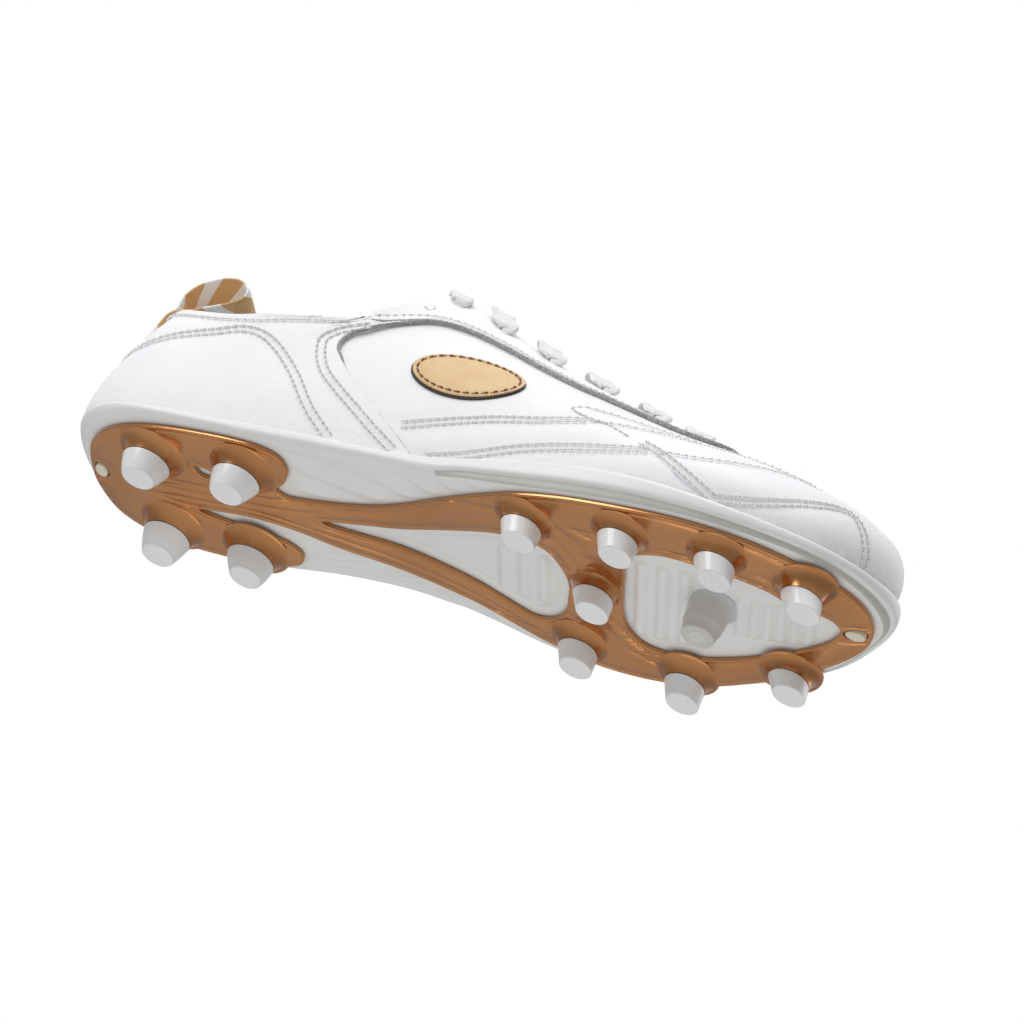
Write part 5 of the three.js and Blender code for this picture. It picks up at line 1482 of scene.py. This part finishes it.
CREASES = (
    ((139, -33), (147, -26), (151.5, -17), (155, -8)),
    ((150, 5), (152, 14), (158, 23), (168, 28.5)),
    ((137.5, -27), (144, -17), (146, -3), (144.5, 10), (140, 18)),
    ((146, -33), (153, -30.5), (158, -33)),
    ((175, -33), (186, -31.5), (193, -31.5)),
    ((206, -29), (214, -23), (219, -22)),
    ((-12, 3), (0, 1.6), (14, 0.8), (30, -0.2), (48, -1.8), (62, -6.5), (76, -10), (92, -19),
    (108, -28), (122, -33)),
    ((-8, 7), (2, 5.4), (16, 4.2), (31, 3.4), (46, 6), (60, 9), (78, 12.5), (96, 16), (114, 21.5), (128, 27)),
    ((-10, -2), (2, -2.8), (16, -3.6), (30, -4.4), (44, -5.2), (58, -7)),
)


def add_frame(studs):
    """Gold frame: bevelled plan that follows the sole, pressed creases, flared stud roots."""
    outline = smooth_outline(FRAME_OUTLINE)
    holes = [smooth_outline(WAIST_WINDOW), smooth_outline(FORE_WINDOW), smooth_outline(HEEL_NOTCH, 6),
             oval(*TOE_SLOT, 0.35), oval(*HEEL_SLOT, 0.35)]
    bm = bevelled_plan([outline, *holes], FRAME_THICK, 0.42)
    slice_plan(bm, np.arange(-29, 240, 1.6), np.arange(-49, 39, 1.6))
    co = np.array([v.co for v in bm.verts])
    d = np.minimum.reduce([outline_distance(co[:, :2], loop, 1.2) for loop in (outline, *holes)])
    crease = np.full(len(co), 1e3)
    for points in CREASES:
        line = catmull([(x, y, 0) for x, y in points], 10)[:, :2]
        crease = np.minimum(crease, outline_distance(co[:, :2], line, 0.8))
    below = ramp01(-co[:, 2], -0.1, 0.3)
    swell = (0.3 * ramp01(d, 1.4, 5) - 0.25 * ramp01(d, 0.9, 1.5) * (1 - ramp01(d, 1.5, 2.4))
             - 0.5 * np.exp(-((crease / 0.75) ** 2)) * ramp01(d, 0.5, 1.6))
    z = co[:, 2] + sole_level(co[:, 0]) + FRAME_THICK / 2 - FRAME_DROP - swell * below
    for v, (x, y, _), h in zip(bm.verts, co, z):
        v.co = (x, y, h)
    bmesh.ops.recalc_face_normals(bm, faces=bm.faces)
    bmesh.ops.triangulate(bm, faces=[f for f in bm.faces if len(f.verts) > 4])
    plan = bpy.data.meshes.new("plan")
    bm.to_mesh(plan)
    bm.free()
    verts = np.zeros(len(plan.vertices) * 3)
    plan.vertices.foreach_get("co", verts)
    faces = [list(p.vertices) for p in plan.polygons]
    make("outsole_frame_gold", verts.reshape(-1, 3), faces, [GOLD],
         node="outsole_frame", sharp=32)
    for s in studs:
        add_root(s)


def stud(row, heel=False):
    name, x, y, z, lean_x, lean_y, *narrow = row
    return {
        "name": name, "x": x, "y": y, "z": z, "lean": np.array((lean_x, lean_y)),
        "length": 7.2 if heel else 6.6, "radius": 6.6 if heel else 5.6,
        "flare": narrow[0] if narrow else 12.5 if heel else 10.8,
        "root": float(sole_level(np.array(float(x)))), "heel": heel,
    }


def lathe(rings, sides=56):
    """Closed mesh of round sections, each (x, y, z or z(x), radius)."""
    a = np.arange(sides) * 2 * np.pi / sides
    rows = []
    for x, y, z, r in rings:
        px, py = x + r * np.cos(a), y + r * np.sin(a)
        rows.append(np.stack([px, py, z(px) if callable(z) else np.full(sides, float(z))], 1))
    n = len(rows)
    faces = grid_faces(n, sides, wrap=True)
    verts = np.vstack(rows + [rows[0].mean(0), rows[-1].mean(0)])
    for k in range(sides):
        nxt = (k + 1) % sides
        faces += [[nxt, k, n * sides], [(n - 1) * sides + k, (n - 1) * sides + nxt, n * sides + 1]]
    return verts, faces


def add_root(s):
    """Bell-shaped gold root of one stud."""
    z0 = s["z"] + s["length"] + 0.12
    rings = []
    start = s["radius"] + (1.75 if s["heel"] else 1.3)
    for f in np.sin(np.linspace(0, np.pi / 2, 25)):
        lean = s["lean"] * (1 + 0.5 * f)
        r = start + (s["flare"] - start) * (0.4 * f + 0.6 * (1 - math.sqrt(max(1 - f * f, 0))))
        if f > 0.999:
            level = (lambda px: sole_level(px) - FRAME_DROP - 0.12)
        else:
            level = (lambda px, f=f, z0=z0: z0 + (sole_level(px) - FRAME_DROP - z0) * f)
        rings.append((s["x"] + lean[0], s["y"] + lean[1], level, r))
    neck, last = rings[0][:2], rings[-1][:2]
    lip = [(*neck, z0 + 0.5, start - 1.0), (*neck, z0 + 0.02, start - 0.35)]
    foot = [(*last, lambda px: sole_level(px) - 0.1, s["flare"] - 0.1),
            (*last, lambda px: sole_level(px) + 0.5, s["flare"] - 0.7)]
    verts, faces = lathe(lip + rings + foot)
    make(s["name"].replace("stud", "root"), verts, faces, [GOLD], sharp=50)


def add_tip(s):
    """White wear tip: round-edged, slightly flared, with a dimpled or slanted ground face."""
    h, r = s["length"], s["radius"]
    face, joint, edge = (r - 0.75, r + 1.7, 1.0) if s["heel"] else (r, r + 1.25, 0.6)
    rings = [(0.0, face - 2.6), (0.0, face - edge)]
    rings += [(edge * (1 - math.cos(a)), face - edge * (1 - math.sin(a))) for a in np.linspace(0.25, 1.57, 6)]
    rings += [(z, face + (joint - face) * ((z - edge) / (h - edge)) ** (0.8 if s["heel"] else 1.0))
              for z in np.linspace(edge + 0.5, h - 0.35, 8)]
    rings += [(h - 0.12, joint - 0.05), (h - 0.02, joint - 0.25), (h, joint - 0.7)]
    stack = []
    for z, radius in rings:
        f = z / h
        stack.append((s["x"] + s["lean"][0] * f, s["y"] + s["lean"][1] * f, s["z"] + z, radius))
    verts, faces = lathe(stack)
    make(f"{s['name']}_tip", verts, faces, [STUD_WHITE], node=s["name"], sharp=45)
    if not s["heel"]:
        add_dimples(s, STUD_WHITE)


def add_dimples(s, mat):
    """Raised ring and grip pips on a forefoot stud's ground face."""
    verts, faces, base = [], [], 0
    a = np.arange(10) * 2 * np.pi / 10
    spots = [(2.9 * math.cos(k), 2.9 * math.sin(k), 0.5) for k in np.arange(7) * 2 * math.pi / 7]
    spots += [(1.2 * math.cos(k), 1.2 * math.sin(k), 0.42) for k in np.arange(3) * 2 * math.pi / 3 + 0.4]
    for dx, dy, r in spots:
        rows = []
        for radius, z in ((r, 0.12), (r * 0.9, 0.0), (r * 0.5, -0.12)):
            rows.append(np.stack([s["x"] + dx + radius * np.cos(a), s["y"] + dy + radius * np.sin(a),
                                  np.full(10, s["z"] + z)], 1))
        verts.append(np.vstack(rows))
        faces += [[v + base for v in f] for f in grid_faces(3, 10, wrap=True)]
        faces += [list(range(base, base + 10))[::-1], list(range(base + 20, base + 30))]
        base += 30
    make(f"{s['name']}_pips", np.vstack(verts), faces, [mat], sharp=60)


def add_window_stud(s):
    top = PLATE_LIFT + 0.1
    z0, z1 = s["z"], s["root"] + top
    rings = [(0.0, s["radius"] - 2.4), (0.0, s["radius"] - 0.6)]
    rings += [(0.6 * (1 - math.cos(a)), s["radius"] - 0.6 + 0.6 * math.sin(a)) for a in np.linspace(0.25, 1.57, 6)]
    rings += [(1.8, s["radius"] + 0.15), (4.2, s["radius"] + 0.7), (4.4, s["radius"] + 0.9),
    (4.7, s["radius"] + 0.95),
              (7.0, s["radius"] + 1.1), (z1 - z0 - 3.0, s["radius"] + 1.35),
              (z1 - z0 - 1.4, s["radius"] + 1.6),
              (z1 - z0 - 0.5, s["radius"] + 2.2), (z1 - z0 - 0.1, s["radius"] + 3.2)]
    stack = [(s["x"], s["y"], z0 + z, r) for z, r in rings]
    stack.append((s["x"], s["y"], lambda px: sole_level(px) + top + 0.15, s["radius"] + 3.4))
    verts, faces = lathe(stack)
    make("stud_fore_centre_front_tpu", verts, faces, [STUD_FROST],
         node=s["name"], sharp=45)
    add_dimples(s, STUD_FROST)


def add_peg(name, slot_plan, node):
    """Oval peg with a domed, softly edged face in its slot."""
    x, y, rx, ry = slot_plan
    rows = []
    level = float(sole_level(np.array(float(x))))
    for z, k in ((-FRAME_DROP - 0.75, 0.5), (-FRAME_DROP - 0.68, 0.8), (-FRAME_DROP - 0.45, 0.95),
    (-FRAME_DROP, 1.0),
                 (FRAME_THICK - FRAME_DROP - 0.1, 1.0)):
        pts = oval(x, y, rx * k, ry * k)
        rows.append(np.column_stack([pts, np.full(len(pts), level + z)]))
    m = len(rows[0])
    faces = grid_faces(len(rows), m, wrap=True) + [
        list(range(m))[::-1], [(len(rows) - 1) * m + k for k in range(m)]]
    make(name, np.vstack(rows), faces, [PEG], node=node)


def add_sockliner():
    w = np.linspace(0.0, 15, 200)
    edge = [foot_edge(on_side(side, w), np.full(w.shape, -1.3)) for side in (LATERAL, MEDIAL)]
    f = edged(40)[None, :, None]
    row = edge[0][:, None] * (1 - f) + edge[1][:, None] * f
    span = np.linalg.norm(edge[0] - edge[1], axis=1)[:, None]
    near = np.minimum(f[..., 0], 1 - f[..., 0]) * span
    cup = 1.6 * (1 - ramp01(near, 0, 9.0)) * ramp01(span, 4, 30)
    level = floor_top(row[..., 0]) + 0.4 + 1.8
    top, under = row.copy(), row.copy()
    top[..., 2] = level + 2.9 + cup - rolled(np.minimum(near, 50), 0.9) * 0.8
    under[..., 2] = level
    loops = np.concatenate([top, under[:, ::-1]], 1)
    n, m = loops.shape[:2]
    piece = make("sockliner_cloth", loops.reshape(-1, 3), grid_faces(n, m, wrap=True), [SOCK],
                 node="sockliner", weld=0.005)


def finish_hidden():
    for node, mat in (("heel_counter", STIFFENER), ("insole_board", BOARD), ("aglet_lateral_end", FILM),
                      ("aglet_medial_end", FILM)):
        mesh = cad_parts[node].data
        mesh.materials.clear()
        mesh.materials.append(mat)


# ------------------------------------------------------------------ assembly
studs = [stud(row, True) for row in HEEL_STUDS] + [stud(row) for row in FORE_STUDS]
add_plate()
add_frame(studs)
for one in studs:
    add_tip(one)
add_window_stud(stud(WINDOW_STUD))
add_peg("toe_peg", TOE_SLOT, "toe_plug")
add_peg("heel_peg", HEEL_SLOT, "heel_plug")
seams = {side: seam_sets(side) for side, _ in SIDES}
for side, word in SIDES:
    add_heel_quarter(side, word, seams[side])
    add_mid_quarter(side, word, seams[side])
    add_facing(side, word, seams[side])
    add_side_patch(side, word)
    add_seam_allowance(side, word)
    rows = [r for group in seams[side].values() for line, n, offs in group for r in stitch_rows(line, n, offs)]
    # The grey needle holes of the white stitching are painted shade.
    sew(f"stitching_{word}", rows, [THREAD_WHITE, NEEDLE_HOLE_SHADE])
add_vamp(list(seams.values()))
add_lining()
add_vamp_lining()
add_sockliner()
add_tongue()
add_pull_loop()
lace_length = add_lace()
print("lace length mm", round(float(lace_length)))
finish_hidden()
